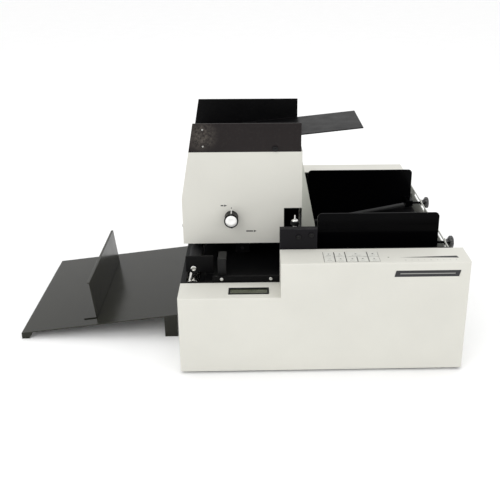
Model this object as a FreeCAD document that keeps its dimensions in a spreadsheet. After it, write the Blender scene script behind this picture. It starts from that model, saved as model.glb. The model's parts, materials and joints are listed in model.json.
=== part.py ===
import FreeCAD, Part
import os
import re

import Sketcher
from FreeCAD import Rotation, Vector

# Desktop mail labelling machine. Envelopes go from the hopper on the right, under the label head,
# to the drop tray on the left. x runs from the left side of the base to the right, y from the
# front face to the back and z up from the table; the part's own origin is the middle of its
# footprint, on the table.

SIZES = [
    # base and covers
    ("base_len", 503, "front cover, left to right"),
    ("base_deep", 554, "front face to back face"),
    ("foot_tall", 5, "height of the rubber feet"),
    ("foot_rad", 12, "radius of the rubber feet"),
    ("foot_inset", 34, "centre of a foot from the sides"),
    ("sheet", 2, "cover sheet thickness"),
    ("ledge_deep", 60, "depth of both front ledges"),
    ("ledge_below", 0.5, "left ledge below the deck"),
    ("ledge_over", 19.05, "right ledge above the bed's high end"),
    ("lip", 12, "upturned edges of the base pan"),
    ("step_at", 178, "left side to the step between the ledges"),
    ("bend_rad", 2.5, "outside radius of the cover bends"),
    ("cover_over", 18, "front cover beyond the right side wall"),
    ("wall_over", 6.5, "right side wall above the guide studs"),
    ("rear_over", 15.55, "rear cover above the bed's high end"),
    ("rear_deep", 54, "depth of the rear cover"),
    ("gap", 0.3, "gap between pieces that do not touch"),
    ("run_gap", 0.06, "radial gap of a running shaft"),
    ("slot_play", 1, "slot beyond the piece that moves in it"),
    # controls
    ("lcd_left", 87, "left side to the display bezel"),
    ("lcd_front", 15, "front face to the display bezel"),
    ("lcd_len", 71, "display bezel length"),
    ("lcd_wide", 24, "display bezel width"),
    ("lcd_rim", 3, "display bezel border"),
    ("lcd_sunk", 0.8, "display below the ledge"),
    ("bezel_up", 1, "display bezel above the ledge"),
    ("bezel_lap", 1.5, "display bezel over the edge of its hole"),
    ("pad_left", 252, "left side to the keypad"),
    ("pad_front", 6.5, "front face to the keypad"),
    ("key_pitch", 19.2, "key pitch along x"),
    ("row_pitch", 20, "key pitch along y"),
    ("key_slit", 1.5, "space between keys"),
    ("key_gap", 0.25, "gap round a key"),
    ("key_up", 0.8, "key top above the ledge"),
    ("led_gap", 16, "keypad to the lamp"),
    ("led_front", 23, "front face to the lamp"),
    ("led_rad", 1.6, "lamp radius"),
    ("plate_in", 17, "name plate in from the cover's right end"),
    ("plate_len", 114, "name plate length"),
    ("plate_tall", 12, "name plate height"),
    ("plate_down", 26.5, "lower edge of the name plate below the ledge"),
    ("plate_thin", 0.6, "name plate thickness"),
    # mains panel on the back
    ("inlet_at", 60, "left side to the mains module"),
    ("inlet_len", 77, "mains module length"),
    ("inlet_tall", 30, "mains module height"),
    ("inlet_low", 40, "lower edge of the mains module"),
    ("inlet_deep", 26, "mains module depth"),
    ("inlet_rim", 3, "mains module border"),
    ("socket_at", 74, "left side to the socket"),
    ("socket_len", 24, "socket length"),
    ("socket_tall", 16, "socket height"),
    ("socket_deep", 16, "socket depth"),
    ("blade_len", 10, "socket blade length"),
    ("blade_wide", 4, "socket blade width"),
    ("blade_thick", 2, "socket blade thickness"),
    ("blade_pitch", 7, "socket blade pitch"),
    ("rocker_at", 117, "left side to the rocker"),
    ("rocker_len", 14, "rocker length"),
    ("rocker_tall", 22, "rocker height"),
    ("rocker_deep", 9, "rocker depth"),
    ("rocker_gap", 1.5, "gap round the rocker"),
    ("rocker_pin", 1.5, "rocker pin radius"),
    ("vent_at", 250, "left side to the vents"),
    ("vent_len", 140, "vent length"),
    ("vent_low", 60, "lowest vent"),
    ("vent_pitch", 11, "vent pitch"),
    ("vent_tall", 3.5, "vent height"),
    # deck, bed and frames
    ("deck_top", 150, "height of the transport deck"),
    ("deck_len", 250, "length of the transport deck"),
    ("bed_sheet", 2, "deck and bed sheet thickness"),
    ("bed_rise", 10.8, "slope of the hopper bed, degrees"),
    ("plate_thick", 3, "frame plate thickness"),
    ("frame_in", 100, "rear frame plate ahead of the rear cover"),
    ("trim_up", 1, "hopper bed flange above the right ledge"),
    ("slot_clear", 35.55, "roller slots reach above the bed's high end"),
    ("column_left", 22, "left side of the head column"),
    ("column_right", 200, "right side of the head column"),
    ("column_deep", 56, "head column, front to back"),
    ("column_in", 4, "head column ahead of the rear cover"),
    # rollers under the deck
    ("roll_rad", 14, "radius of the exit and feed rollers"),
    ("roll_up", 1.5, "roller above the deck"),
    ("shaft_rad", 4, "radius of the roller shafts"),
    ("pulley_rad", 8, "radius of the belt pulleys"),
    ("belt_thick", 1.5, "belt thickness"),
    ("belt_wide", 6, "belt width"),
    ("exit_at", 22, "left side to the exit roller"),
    ("feed_at", 215, "left side to the feed roller"),
    ("pickup_at", 268, "left side to the pickup roller"),
    ("motor_in", 85, "motor in from the right side wall"),
    ("motor_rad", 26, "motor radius"),
    ("motor_len", 70, "motor length"),
    ("nip_rad", 12, "radius of the exit nip roller"),
    ("slot_in", 2, "half a roller's slot, short of its radius"),
    ("belt_gap", 1, "gap beside a belt"),
    ("exit_from", 67, "front end of the exit roller"),
    ("exit_short", 10, "exit roller short of the rear frame plate"),
    ("wheel_from", 112, "front edge of the first rubber wheel"),
    ("wheel_wide", 26, "rubber wheel width"),
    ("wheel_pitch", 75, "rubber wheel pitch"),
    # front rail and label sensor
    ("rail_left", 58, "left side to the front rail"),
    ("rail_thick", 5, "front rail thickness"),
    ("rail_foot", 14, "width of the rail's post"),
    ("rail_tall", 11, "height of the front rail"),
    ("arm_front", 93, "front face of the exit roller's arm"),
    ("arm_up", 6, "exit roller's arm above the deck"),
    ("post_at", 67, "left side to the label sensor's post"),
    ("post_len", 15, "label sensor post, left to right"),
    ("post_front", 73, "front face of the label sensor's post"),
    ("post_deep", 9, "label sensor post depth"),
    ("post_over", 3, "label sensor's post above the head's lower edge"),
    # label head
    ("head_front", 150, "front face of the label head"),
    ("head_len", 222, "label head, left to right"),
    ("mail_room", 37, "label head above the deck"),
    ("head_tall", 179, "height of the label head cover"),
    ("slant_up", 90, "upright part of the head's left edge"),
    ("slant", 10, "lean of the left edge, degrees"),
    ("notch_left", 188.7, "left edge of the separator notch"),
    ("notch_tall", 70, "height of the separator notch"),
    ("notch_deep", 60, "depth of the separator notch"),
    ("hood_out", 32, "feed hood beyond the head at its foot"),
    ("hood_deep", 65, "slanted front of the feed hood, in y"),
    ("hood_tall", 161, "height of the feed hood"),
    ("hood_back", 299, "back of the feed hood"),
    ("fascia_tall", 53, "height of the black fascia"),
    ("fascia_right", 219.5, "right edge of the black fascia"),
    ("fascia_thick", 3, "fascia thickness"),
    ("fence_at", 280, "front face of the label tray's rear fence"),
    ("fence_up", 68, "top of the label tray's rear fence above the head"),
    ("tray_from", 33, "left edge of the label tray"),
    ("tray_to", 331, "right edge of the label tray"),
    ("tray_up", 12, "label tray's left edge above the head"),
    ("tray_lean", 6.1, "slope of the label tray, degrees"),
    ("head_plate_front", 180, "front face of the head's front frame plate"),
    ("head_plate_in", 200, "head's rear frame plate ahead of the rear cover"),
    ("tie_rad", 5, "radius of the tie rods"),
    ("plate_up", 4, "head's frame plates above its lower edge"),
    ("plate_under", 12, "head's frame plates below its top"),
    ("head_plate_right", 184, "right edge of the head's frame plates"),
    ("lug_half", 13, "half the width of the applicator lugs"),
    ("lug_up", 5, "applicator lugs above the deck"),
    ("label_roll_at", 60, "left side to the label drive roller"),
    ("label_roll_up", 58, "label drive roller above the head's lower edge"),
    ("label_roll_rad", 14, "label drive roller radius"),
    ("label_nip_rad", 9, "label nip roller radius"),
    ("pin_rad", 3, "radius of the light roller shafts"),
    ("applicator_at", 110, "left side to the applicator roller"),
    ("applicator_rad", 12, "applicator roller radius"),
    ("label_motor_rad", 21, "label feed motor radius"),
    ("label_motor_len", 48, "label feed motor length"),
    ("web_slot_at", 20, "left side to the label web slot"),
    ("web_slot_wide", 7, "label web slot width"),
    ("saddle_left", 60, "left edge of the label tray's saddle"),
    ("saddle_right", 190, "right edge of the label tray's saddle"),
    ("selector_at", 91, "left side to the selector"),
    ("selector_up", 53.5, "selector above the head's lower edge"),
    ("selector_rad", 13.5, "selector skirt radius"),
    ("selector_long", 23, "selector length"),
    # feed controls
    ("side_plate_back", 75, "back face of the feed side plate"),
    ("side_plate_right", 244, "right edge of the feed side plate"),
    ("side_plate_over", 37.5, "feed side plate above the right ledge"),
    ("separator_at", 208, "left side to the separator screw"),
    ("separator_front", 130, "front face to the separator screw"),
    ("separator_rad", 8, "separator knob radius"),
    ("screw_rad", 2.4, "separator screw radius"),
    ("separator_arm_up", 48, "separator's arm above the deck"),
    ("separator_arm_thick", 12, "separator arm thickness"),
    ("separator_knob_up", 72, "separator knob above the deck"),
    ("separator_tall", 101, "top of the separator knob above the deck"),
    ("stone_over", 6, "separator block above the deck"),
    ("stone_tall", 24, "separator block height"),
    ("stone_half", 9, "half the separator block's width"),
    ("stone_deep", 36, "separator block depth"),
    ("stone_up", 2, "separator block travel up"),
    ("adjuster_rad", 4, "adjuster radius"),
    ("adjuster_long", 4, "adjuster head length"),
    ("adjuster_pin", 2, "adjuster pin radius"),
    ("left_adjuster_at", 211, "left side to the left adjuster"),
    ("left_adjuster_up", 23.1, "left adjuster above the right ledge"),
    ("right_adjuster_at", 233.4, "left side to the right adjuster"),
    ("right_adjuster_up", 26.8, "right adjuster above the right ledge"),
    # side guides
    ("guide_left", 247, "left edge of the side guides"),
    ("guide_short", 18, "side guides short of the right side wall"),
    ("guide_thick", 3, "side guide thickness"),
    ("guide_tall", 116, "top of the side guides above the deck"),
    ("front_guide_at", 97, "front face of the front guide"),
    ("rear_guide_at", 342, "front face of the rear guide"),
    ("guide_round", 8, "corner radius of the side guides"),
    ("guide_lift", 3, "side guides above the bed"),
    ("block_len", 15, "guide block, left to right"),
    ("block_deep", 27, "guide block, out from its guide"),
    ("block_over", 7.5, "guide blocks above the studs"),
    ("stud_up", 4.05, "guide studs above the bed's high end"),
    ("stud_rad", 2.5, "guide stud radius"),
    ("clamp_rad", 12, "clamp knob radius"),
    ("clamp_neck", 8, "clamp knob neck radius"),
    ("clamp_in", 2, "clamp knobs' outer face in from the cover's end"),
    ("front_stud_at", 118, "y of the front guide's stud"),
    ("rear_stud_at", 324, "y of the rear guide's stud"),
    ("front_guide_out", 16, "front guide travel to the front"),
    ("front_guide_in", 65, "front guide travel to the middle"),
    ("rear_guide_in", 40, "rear guide travel to the middle"),
    ("rear_guide_out", 50, "rear guide travel to the back"),
    # drop tray
    ("drop_left", 318, "left edge of the drop tray, out from the base"),
    ("drop_right", 14, "right edge of the drop tray, out from the base"),
    ("drop_front", 128, "front edge of the drop tray"),
    ("drop_back", 452, "back edge of the drop tray"),
    ("drop_low", 12.4, "height of the drop tray's left edge"),
    ("drop_lean", 6.7, "slope of the drop tray, degrees"),
    ("drop_sheet", 2, "drop tray sheet thickness"),
    ("stop_at", 176, "tray stop out from the base"),
    ("stop_tall", 77, "height of the tray stop"),
    ("stop_front", 153, "front edge of the tray stop"),
    ("stop_back", 412, "back edge of the tray stop"),
    ("stop_foot", 26, "length of the tray stop's foot"),
    ("stop_sheet", 1.6, "tray stop sheet thickness"),
    ("stop_lip", 5, "length of the tray stop's top lip"),
    ("leg_wide", 22, "drop tray left leg, at the tray"),
    ("leg_foot", 14, "drop tray left leg, at the table"),
    ("right_leg_from", 17, "right leg's right edge, out from the base"),
    ("right_leg_wide", 25, "drop tray right leg"),
    ("hook_wide", 30, "drop tray hook width"),
    ("hook_in", 60, "drop tray hooks, in from its front and back edges"),
    # electrics
    ("board_left", 60, "left side to the control board"),
    ("board_len", 150, "control board length"),
    ("board_front", 100, "front face to the control board"),
    ("board_wide", 200, "control board width"),
    ("board_thick", 1.6, "control board thickness"),
    ("board_high", 16, "height of the control board"),
    ("post_rad", 3, "control board post radius"),
    ("supply_left", 215, "left side to the power supply"),
    ("supply_len", 120, "power supply length"),
    ("supply_in", 7, "power supply ahead of the rear cover"),
    ("supply_wide", 68, "power supply width"),
    ("supply_tall", 45, "power supply height"),
    # screws
    ("screw_head", 3.3, "screw head radius"),
    ("head_up", 1.4, "screw head height"),
    ("small_head", 1.8, "fascia screw head radius"),
    ("thumb_rad", 5, "thumb screw radius"),
    ("thumb_long", 4, "thumb screw length"),
    ("thumb_at", 172.5, "left side to the fascia's thumb screw"),
    ("fascia_screw_at", 42.4, "left side to the fascia's screws"),
    ("screw_low", 11, "fascia screws from its edges"),
    ("rail_screw_in", 16, "screws from the ends of a rail or wall"),
    ("side_screw_up", 31, "side screw above the head's lower edge"),
    ("wall_screw_low", 25, "height of the wall's lower screws"),
    ("wall_screw_down", 85, "wall's upper screws below its top"),
]

# lines and levels that follow from the sizes
LINES = {
    "wall_at": "base_len - cover_over",
    "clamp_out": "base_len - clamp_in",
    "guide_right": "wall_at - guide_short",
    "motor_at": "wall_at - motor_in",
    "plate_left": "base_len - plate_in - plate_len",
    "led_at": "pad_left + 5 * key_pitch + led_gap",
    "back_at": "base_deep - rear_deep",
    "head_plate_back": "back_at - head_plate_in",
    "column_back": "back_at - column_in",
    "column_front": "column_back - column_deep",
    "frame_back_at": "back_at - frame_in",
    "exit_to": "frame_back_at - exit_short",
    "supply_front": "back_at - supply_in - supply_wide",
    "bed_end": "deck_top + (wall_at - sheet - deck_len) * tan(bed_rise)",
    "low_ledge": "deck_top - ledge_below",
    "high_ledge": "bed_end + ledge_over",
    "plate_low": "high_ledge - plate_down",
    "rear_top": "bed_end + rear_over",
    "bed_clear": "bed_end + slot_clear",
    "stud_high": "bed_end + stud_up",
    "wall_top": "stud_high + wall_over",
    "wall_screw_high": "wall_top - wall_screw_down",
    "block_top": "stud_high + block_over",
    "guide_top": "deck_top + guide_tall",
    "rail_top": "deck_top + rail_tall",
    "arm_low": "deck_top + arm_up",
    "lug_low": "deck_top + lug_up",
    "side_plate_top": "high_ledge + side_plate_over",
    "separator_arm_low": "deck_top + separator_arm_up",
    "separator_knob_low": "deck_top + separator_knob_up",
    "separator_top": "deck_top + separator_tall",
    "stone_low": "deck_top + stone_over",
    "left_adjuster_high": "high_ledge + left_adjuster_up",
    "right_adjuster_high": "high_ledge + right_adjuster_up",
    "head_low": "deck_top + mail_room",
    "post_top": "head_low + post_over",
    "selector_high": "head_low + selector_up",
    "label_roll_high": "head_low + label_roll_up",
    "side_screw_high": "head_low + side_screw_up",
    "slant_from": "head_low + slant_up",
    "notch_top": "head_low + notch_tall",
    "hood_top": "head_low + hood_tall",
    "head_plate_low": "head_low + plate_up",
    "head_top": "head_low + head_tall",
    "head_plate_top": "head_top - plate_under",
    "tray_low": "head_top + tray_up",
    "fascia_top": "head_top + fascia_tall",
    "fence_top": "head_top + fence_up",
}

doc = FreeCAD.newDocument("mail_labelling_machine")
sheet = doc.addObject("Spreadsheet::Sheet", "Sizes")
for row, (alias, value, note) in enumerate(SIZES, start=1):
    sheet.set("A%d" % row, str(value))
    sheet.setAlias("A%d" % row, alias)
    sheet.set("B%d" % row, note)
doc.recompute()

ALIASES = {alias for alias, _value, _note in SIZES}
NODES = []


def in_sheet(text):
    """Turn every size and line named in an expression into spreadsheet cells."""
    def swap(match):
        word = match.group(0)
        if word in LINES:
            return "(" + in_sheet(LINES[word]) + ")"
        return "Sizes." + word if word in ALIASES else word
    return re.sub(r"[a-z_]+", swap, str(text))


def bind(obj, prop, text):
    obj.setExpression(prop, in_sheet(text))


def size(text):
    """The number that an expression over the sheet has now."""
    value = sheet.evalExpression(in_sheet(text))
    return float(getattr(value, "Value", value))


# middle of the footprint
MID_X = "((base_len - drop_left) / 2)"
MID_Y = "(base_deep / 2)"
TURN = {
    "x": Rotation(Vector(0, 1, 0), 90),
    "y": Rotation(Vector(1, 0, 0), -90),
    "z": Rotation(),
}


def place(obj, x, y, z, turn=None):
    if turn is not None:
        obj.Placement = FreeCAD.Placement(Vector(), turn)
    bind(obj, "Placement.Base.x", f"({x}) - {MID_X}")
    bind(obj, "Placement.Base.y", f"({y}) - {MID_Y}")
    bind(obj, "Placement.Base.z", z)
    return obj


def block(name, x, y, z):
    """A box; x, y and z are its (low, high) pairs."""
    obj = doc.addObject("Part::Box", name)
    for prop, (low, high) in (("Length", x), ("Width", y), ("Height", z)):
        bind(obj, prop, f"({high}) - ({low})")
    return place(obj, x[0], y[0], z[0])


def rod(name, along, radius, span, centre):
    """A cylinder along an axis; span is its (low, high) there, centre its two other coordinates."""
    obj = doc.addObject("Part::Cylinder", name)
    bind(obj, "Radius", radius)
    bind(obj, "Height", f"({span[1]}) - ({span[0]})")
    spot = list(centre)
    spot.insert("xyz".index(along), span[0])
    return place(obj, *spot, turn=TURN[along])


def cone(name, along, radii, span, centre):
    obj = doc.addObject("Part::Cone", name)
    bind(obj, "Radius1", radii[0])
    bind(obj, "Radius2", radii[1])
    bind(obj, "Height", f"({span[1]}) - ({span[0]})")
    spot = list(centre)
    spot.insert("xyz".index(along), span[0])
    return place(obj, *spot, turn=TURN[along])


def join(name, *pieces):
    obj = doc.addObject("Part::MultiFuse", name)
    obj.Shapes = list(pieces)
    obj.Refine = True
    return obj


def cut(name, base, *tools):
    obj = doc.addObject("Part::Cut", name)
    obj.Base = base
    obj.Tool = tools[0] if len(tools) == 1 else join(name + "_cuts", *tools)
    obj.Refine = True
    return obj


def group(name, *pieces):
    """Identical pieces kept as separate solids in one node."""
    obj = doc.addObject("Part::Compound", name)
    obj.Links = list(pieces)
    return obj


PLANES = {"xz": "XZ_Plane", "yz": "YZ_Plane", "xy": "XY_Plane"}


def outline(body, name, plane, points):
    """A closed sketch of straight lines through (across, up) pairs of expressions."""
    sketch = body.newObject("Sketcher::SketchObject", name)
    role = PLANES[plane]
    origin_plane = [f for f in body.Origin.OriginFeatures if f.Role == role][0]
    sketch.AttachmentSupport = [(origin_plane, "")]
    sketch.MapMode = "FlatFace"
    spots = [Vector(size(a), size(b), 0) for a, b in points]
    count = len(spots)
    for i, spot in enumerate(spots):
        sketch.addGeometry(Part.LineSegment(spot, spots[(i + 1) % count]))
    for i in range(count):
        sketch.addConstraint(Sketcher.Constraint("Coincident", i, 2, (i + 1) % count, 1))
    for i, (across, up) in enumerate(points):
        for kind, text in (("DistanceX", across), ("DistanceY", up)):
            index = sketch.addConstraint(Sketcher.Constraint(kind, -1, 1, i, 1, size(text)))
            bind(sketch, f"Constraints[{index}]", text)
    return sketch


def prism(name, plane, points, span):
    """A PartDesign body: an outline in the plane, padded over span along the third axis."""
    body = doc.addObject("PartDesign::Body", name)
    sketch = outline(body, name + "_outline", plane, points)
    pad = body.newObject("PartDesign::Pad", name + "_pad")
    pad.Profile = sketch
    pad.Reversed = plane == "xz"
    bind(pad, "Length", f"({span[1]}) - ({span[0]})")
    base = {"xz": ("0", span[0], "0"), "yz": (span[0], "0", "0"), "xy": ("0", "0", span[0])}
    place(body, *base[plane])
    doc.recompute()
    return body


def round_edges(body, radius, keep):
    """Fillet the body's edges whose mid point and direction pass keep(mid, way)."""
    tip = body.Tip
    shape = tip.Shape
    move = FreeCAD.Placement(body.Placement)
    names = []
    for i, edge in enumerate(shape.Edges, start=1):
        first, last = edge.Vertexes[0].Point, edge.Vertexes[-1].Point
        mid = move.multVec((first + last) * 0.5) + Vector(size(MID_X), size(MID_Y), 0)
        if keep(mid, (last - first).normalize()):
            names.append("Edge%d" % i)
    fillet = body.newObject("PartDesign::Fillet", body.Name + "_round")
    fillet.Base = (tip, names)
    bind(fillet, "Radius", radius)
    doc.recompute()
    return body


def node(name, obj):
    """Name a finished sub-part; its label is its file's name."""
    obj.Label = name
    NODES.append(obj)
    return obj


# shared levels and lines, each worked out once from the sizes
FLOOR = "(foot_tall + sheet)"
WALL_IN = "(wall_at - sheet)"
SHAFT_HIGH = "(deck_top + roll_up - roll_rad)"
BORE = "(shaft_rad + run_gap)"
HEAD_IN = "(head_front + sheet)"
PAST = "5"


def bed_high(x):
    """Height of the hopper bed's top face."""
    return f"(deck_top + ({x} - deck_len) * tan(bed_rise))"


def slant_at(z):
    """x of the head's leaning left edge at a height."""
    return f"(({z} - slant_from) * tan(slant))"


def chassis():
    """Folded base pan with the left side wall, its rubber feet, and the right side wall."""
    left, right = "0", "wall_at"
    wall = f"({FLOOR})"
    pan = join(
        "base_pan_fold",
        block("pan_floor", (left, right), ("sheet", "base_deep - sheet"), ("foot_tall", wall)),
        block("pan_left", (left, "sheet"), ("ledge_deep", "back_at"), ("foot_tall", "deck_top - bed_sheet")),
        block("pan_front", ("sheet", right), ("sheet", "2 * sheet"), ("foot_tall", f"{FLOOR} + lip")),
        block("pan_back", ("sheet", WALL_IN), ("base_deep - 2 * sheet", "base_deep - sheet"),
              ("foot_tall", f"{FLOOR} + lip")),
    )
    trim = [
        block("pan_trim_front", (f"0 - {PAST}", "sheet"), ("0", "ledge_deep"), ("0", "deck_top")),
        block("pan_trim_back", (f"0 - {PAST}", "sheet"), ("back_at", "base_deep"), ("0", "deck_top")),
        block("pan_trim_right", (WALL_IN, f"wall_at + {PAST}"), ("back_at", "base_deep"), ("0", "deck_top")),
    ]
    node("base_pan", cut("base_pan", pan, *trim))

    feet = []
    for i, x in enumerate(("foot_inset", "wall_at - foot_inset")):
        for j, y in enumerate(("foot_inset", "base_deep - foot_inset")):
            feet.append(rod(f"foot_{i}{j}", "z", "foot_rad", ("0", "foot_tall"), (x, y)))
    node("rubber_feet", group("rubber_feet", *feet))

    plate = block("wall_plate", (WALL_IN, "wall_at"), ("2 * sheet", "back_at"), (FLOOR, "wall_top"))
    slots = []
    for label, stud, back, ahead in (("front", "front_stud_at", "front_guide_out", "front_guide_in"),
                                     ("rear", "rear_stud_at", "rear_guide_in", "rear_guide_out")):
        reach = "(stud_rad + slot_play)"
        slots.append(block(f"{label}_slot", (f"{WALL_IN} - {PAST}", f"wall_at + {PAST}"),
                           (f"{stud} - {back} - {reach}", f"{stud} + {ahead} + {reach}"),
                           (f"stud_high - {reach}", f"stud_high + {reach}")))
    node("right_side_wall", cut("right_side_wall", plate, *slots))


def stepped(inset, low):
    """The stepped front outline, pulled in by inset on every side but the bottom."""
    return [
        (f"0 + {inset}", low), (f"base_len - {inset}", low),
        (f"base_len - {inset}", f"high_ledge - {inset}"), (f"step_at + {inset}", f"high_ledge - {inset}"),
        (f"step_at + {inset}", f"low_ledge - {inset}"), (f"0 + {inset}", f"low_ledge - {inset}"),
    ]


def front_cover():
    """One sheet cover: front face, both ledges, the step and the two ends."""
    shell = prism("front_cover_shell", "xz", stepped("0", "foot_tall"), ("0", "ledge_deep"))
    tall = size("step_at")
    round_edges(shell, "bend_rad", lambda mid, way: mid.y < 0.01 and mid.z > size("foot_tall") + 1
                and not (abs(way.z) > 0.9 and abs(mid.x - tall) < 1))
    hollow = prism("front_cover_hollow", "xz", stepped("sheet", "0"), ("sheet", f"ledge_deep + {PAST}"))
    openings = [
        hollow,
        block("lcd_hole", ("lcd_left + bezel_lap", "lcd_left + lcd_len - bezel_lap"),
              ("lcd_front + bezel_lap", "lcd_front + lcd_wide - bezel_lap"),
              (f"low_ledge - {PAST}", f"low_ledge + {PAST}")),
        block("keypad_hole", ("pad_left", "pad_left + 5 * key_pitch"),
              ("pad_front", "pad_front + 2 * row_pitch"), (f"high_ledge - {PAST}", f"high_ledge + {PAST}")),
        rod("lamp_hole", "z", "led_rad", (f"high_ledge - {PAST}", f"high_ledge + {PAST}"),
            ("led_at", "led_front")),
        block("plate_recess", ("plate_left", "plate_left + plate_len"), (f"0 - {PAST}", "plate_thin"),
              ("plate_low", "plate_low + plate_tall")),
    ]
    sheet_cover = cut("front_cover_sheet", shell, *openings)
    back = block("front_cover_return", ("wall_at", "base_len - sheet"), ("ledge_deep - sheet", "ledge_deep"),
                 ("foot_tall", "high_ledge - sheet"))
    node("front_cover", join("front_cover", sheet_cover, back))
    node("name_plate", block("name_plate", ("plate_left", "plate_left + plate_len"), ("0", "plate_thin"),
                             ("plate_low", "plate_low + plate_tall")))


def rear_cover():
    """Rear cover with its vents and the hole for the mains module."""
    box = block("rear_cover_box", ("0", "wall_at"), ("back_at", "base_deep"), ("foot_tall", "rear_top"))
    hollow = block("rear_cover_hollow", ("sheet", WALL_IN), (f"back_at - {PAST}", "base_deep - sheet"),
                   ("0", "rear_top - sheet"))
    back = (f"base_deep - sheet - {PAST}", f"base_deep + {PAST}")
    holes = [
        hollow,
        block("inlet_hole", ("inlet_at", "inlet_at + inlet_len"), back,
              ("inlet_low", "inlet_low + inlet_tall")),
    ]
    for i in range(9):
        low = f"vent_low + {i} * vent_pitch"
        holes.append(block(f"vent_{i}", ("vent_at", "vent_at + vent_len"), back, (low, f"{low} + vent_tall")))
    node("rear_cover", cut("rear_cover", box, *holes))


def plate_outline(low):
    """Outline of a frame plate that carries the deck and the bed."""
    return [("sheet", low), (WALL_IN, low), (WALL_IN, f"{bed_high(WALL_IN)} - bed_sheet"),
            ("deck_len", "deck_top - bed_sheet"), ("sheet", "deck_top - bed_sheet")]


def frame_plates():
    """The two upright plates that carry the lower shafts, the deck and the hopper bed."""
    plates = []
    for label, at in (("front", "ledge_deep + sheet"), ("rear", "frame_back_at")):
        plate = prism(f"{label}_plate_blank", "xz", plate_outline(FLOOR), (at, f"{at} + plate_thick"))
        bores = [rod(f"{label}_bore_{i}", "y", BORE, (f"{at} - {PAST}", f"{at} + plate_thick + {PAST}"),
                     (x, SHAFT_HIGH)) for i, x in enumerate(("exit_at", "feed_at", "pickup_at", "motor_at"))]
        if label == "front":
            bores = bores[:3]
        plates.append(cut(f"{label}_frame_plate", plate, *bores))
    node("frame_plates", group("frame_plates", *plates))


PICKUP_RAD = f"({bed_high('pickup_at')} + roll_up - {SHAFT_HIGH})"
ROLLERS = {
    "exit_roller": ("exit_at", "roll_rad", [("exit_from", "exit_to")]),
    "feed_roller": ("feed_at", "roll_rad", [
        ("wheel_from", "wheel_from + wheel_wide"),
        ("wheel_from + wheel_pitch", "wheel_from + wheel_pitch + wheel_wide"),
        ("wheel_from + 2 * wheel_pitch", "wheel_from + 2 * wheel_pitch + wheel_wide")]),
    "pickup_roller": ("pickup_at", PICKUP_RAD, [("wheel_from", "wheel_from + wheel_wide"),
                                                ("wheel_from + 2 * wheel_pitch",
                                                 "wheel_from + 2 * wheel_pitch + wheel_wide")]),
}
SHAFT_FRONT = "(ledge_deep + sheet + gap)"
PULLEY_FROM = "(frame_back_at + plate_thick + belt_gap)"
PULLEY_TO = f"({PULLEY_FROM} + 2 * belt_wide + belt_gap)"


def rollers():
    """The driven shafts under the deck: rubber rollers on a steel shaft with its belt pulley."""
    for name, (at, radius, wheels) in ROLLERS.items():
        spot = (at, SHAFT_HIGH)
        pieces = [rod(f"{name}_shaft", "y", "shaft_rad", (SHAFT_FRONT, PULLEY_TO), spot),
                  rod(f"{name}_pulley", "y", "pulley_rad", (PULLEY_FROM, PULLEY_TO), spot)]
        pieces += [rod(f"{name}_wheel_{i}", "y", radius, span, spot) for i, span in enumerate(wheels)]
        node(name, join(name, *pieces))


def roller_slots(name):
    """Slots that let a roller's wheels through a deck."""
    at, radius, wheels = ROLLERS[name]
    half = f"({radius} - slot_in)"
    return [block(f"{name}_slot_{i}", (f"{at} - {half}", f"{at} + {half}"),
                  (f"{low} - slot_play", f"{high} + slot_play"), (f"deck_top - {PAST}", "bed_clear"))
            for i, (low, high) in enumerate(wheels)]


def decks():
    """Transport deck under the head, and the sloping hopper bed with its front and rear flanges.

    The bed stops in line with the side guides, short of the right side wall."""
    plate = block("deck_plate", ("0", "deck_len"), ("ledge_deep", "back_at"),
                  ("deck_top - bed_sheet", "deck_top"))
    flange = block("deck_flange", ("0", "deck_len"), ("back_at - bed_sheet", "back_at"),
                   ("deck_top", "head_low"))
    well = block("column_well", ("column_left - gap", "column_right + gap"),
                 ("column_front - gap", "column_back + gap"), (f"deck_top - {PAST}", f"deck_top + {PAST}"))
    holes = roller_slots("exit_roller") + roller_slots("feed_roller") + [well]
    node("transport_deck", cut("transport_deck", join("deck_fold", plate, flange), *holes))

    low = "deck_top - bed_sheet"
    end, top = "guide_right", bed_high("guide_right")
    slope = [("deck_len", low), (end, f"{top} - bed_sheet"), (end, top), ("deck_len", "deck_top")]
    foot = f"{bed_high(WALL_IN)} - bed_sheet"
    front = [("deck_len", low), (WALL_IN, foot), (WALL_IN, "high_ledge + trim_up"),
             ("deck_len", "high_ledge + trim_up")]
    rear = [("deck_len", low), (WALL_IN, foot), (WALL_IN, "rear_top - sheet"),
            ("deck_len", "rear_top - sheet")]
    sides = ("ledge_deep + bed_sheet", "back_at - bed_sheet")
    bed = join("bed_fold", prism("bed_plate", "xz", slope, sides),
               prism("bed_front", "xz", front, ("ledge_deep", sides[0])),
               prism("bed_rear", "xz", rear, (sides[1], "back_at")))
    node("hopper_bed", cut("hopper_bed", bed, *roller_slots("pickup_roller")))


def display():
    """Display on the left ledge: a bezel in its hole and the panel behind it."""
    x, y = ("lcd_left", "lcd_left + lcd_len"), ("lcd_front", "lcd_front + lcd_wide")
    inset = "(bezel_lap + gap)"
    flange = block("bezel_flange", x, y, ("low_ledge", "low_ledge + bezel_up"))
    collar = block("bezel_collar", (f"{x[0]} + {inset}", f"{x[1]} - {inset}"),
                   (f"{y[0]} + {inset}", f"{y[1]} - {inset}"), ("low_ledge - 3 * sheet", "low_ledge"))
    window = [(f"{low} + lcd_rim", f"{high} - lcd_rim") for low, high in (x, y)]
    hole = block("bezel_window", *window, (f"low_ledge - 3 * sheet - {PAST}", f"low_ledge + {PAST}"))
    node("lcd_bezel", cut("lcd_bezel", join("bezel_solid", flange, collar), hole))
    node("lcd_display", block("lcd_display", *window, ("low_ledge - 2 * sheet", "low_ledge - lcd_sunk")))


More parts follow.
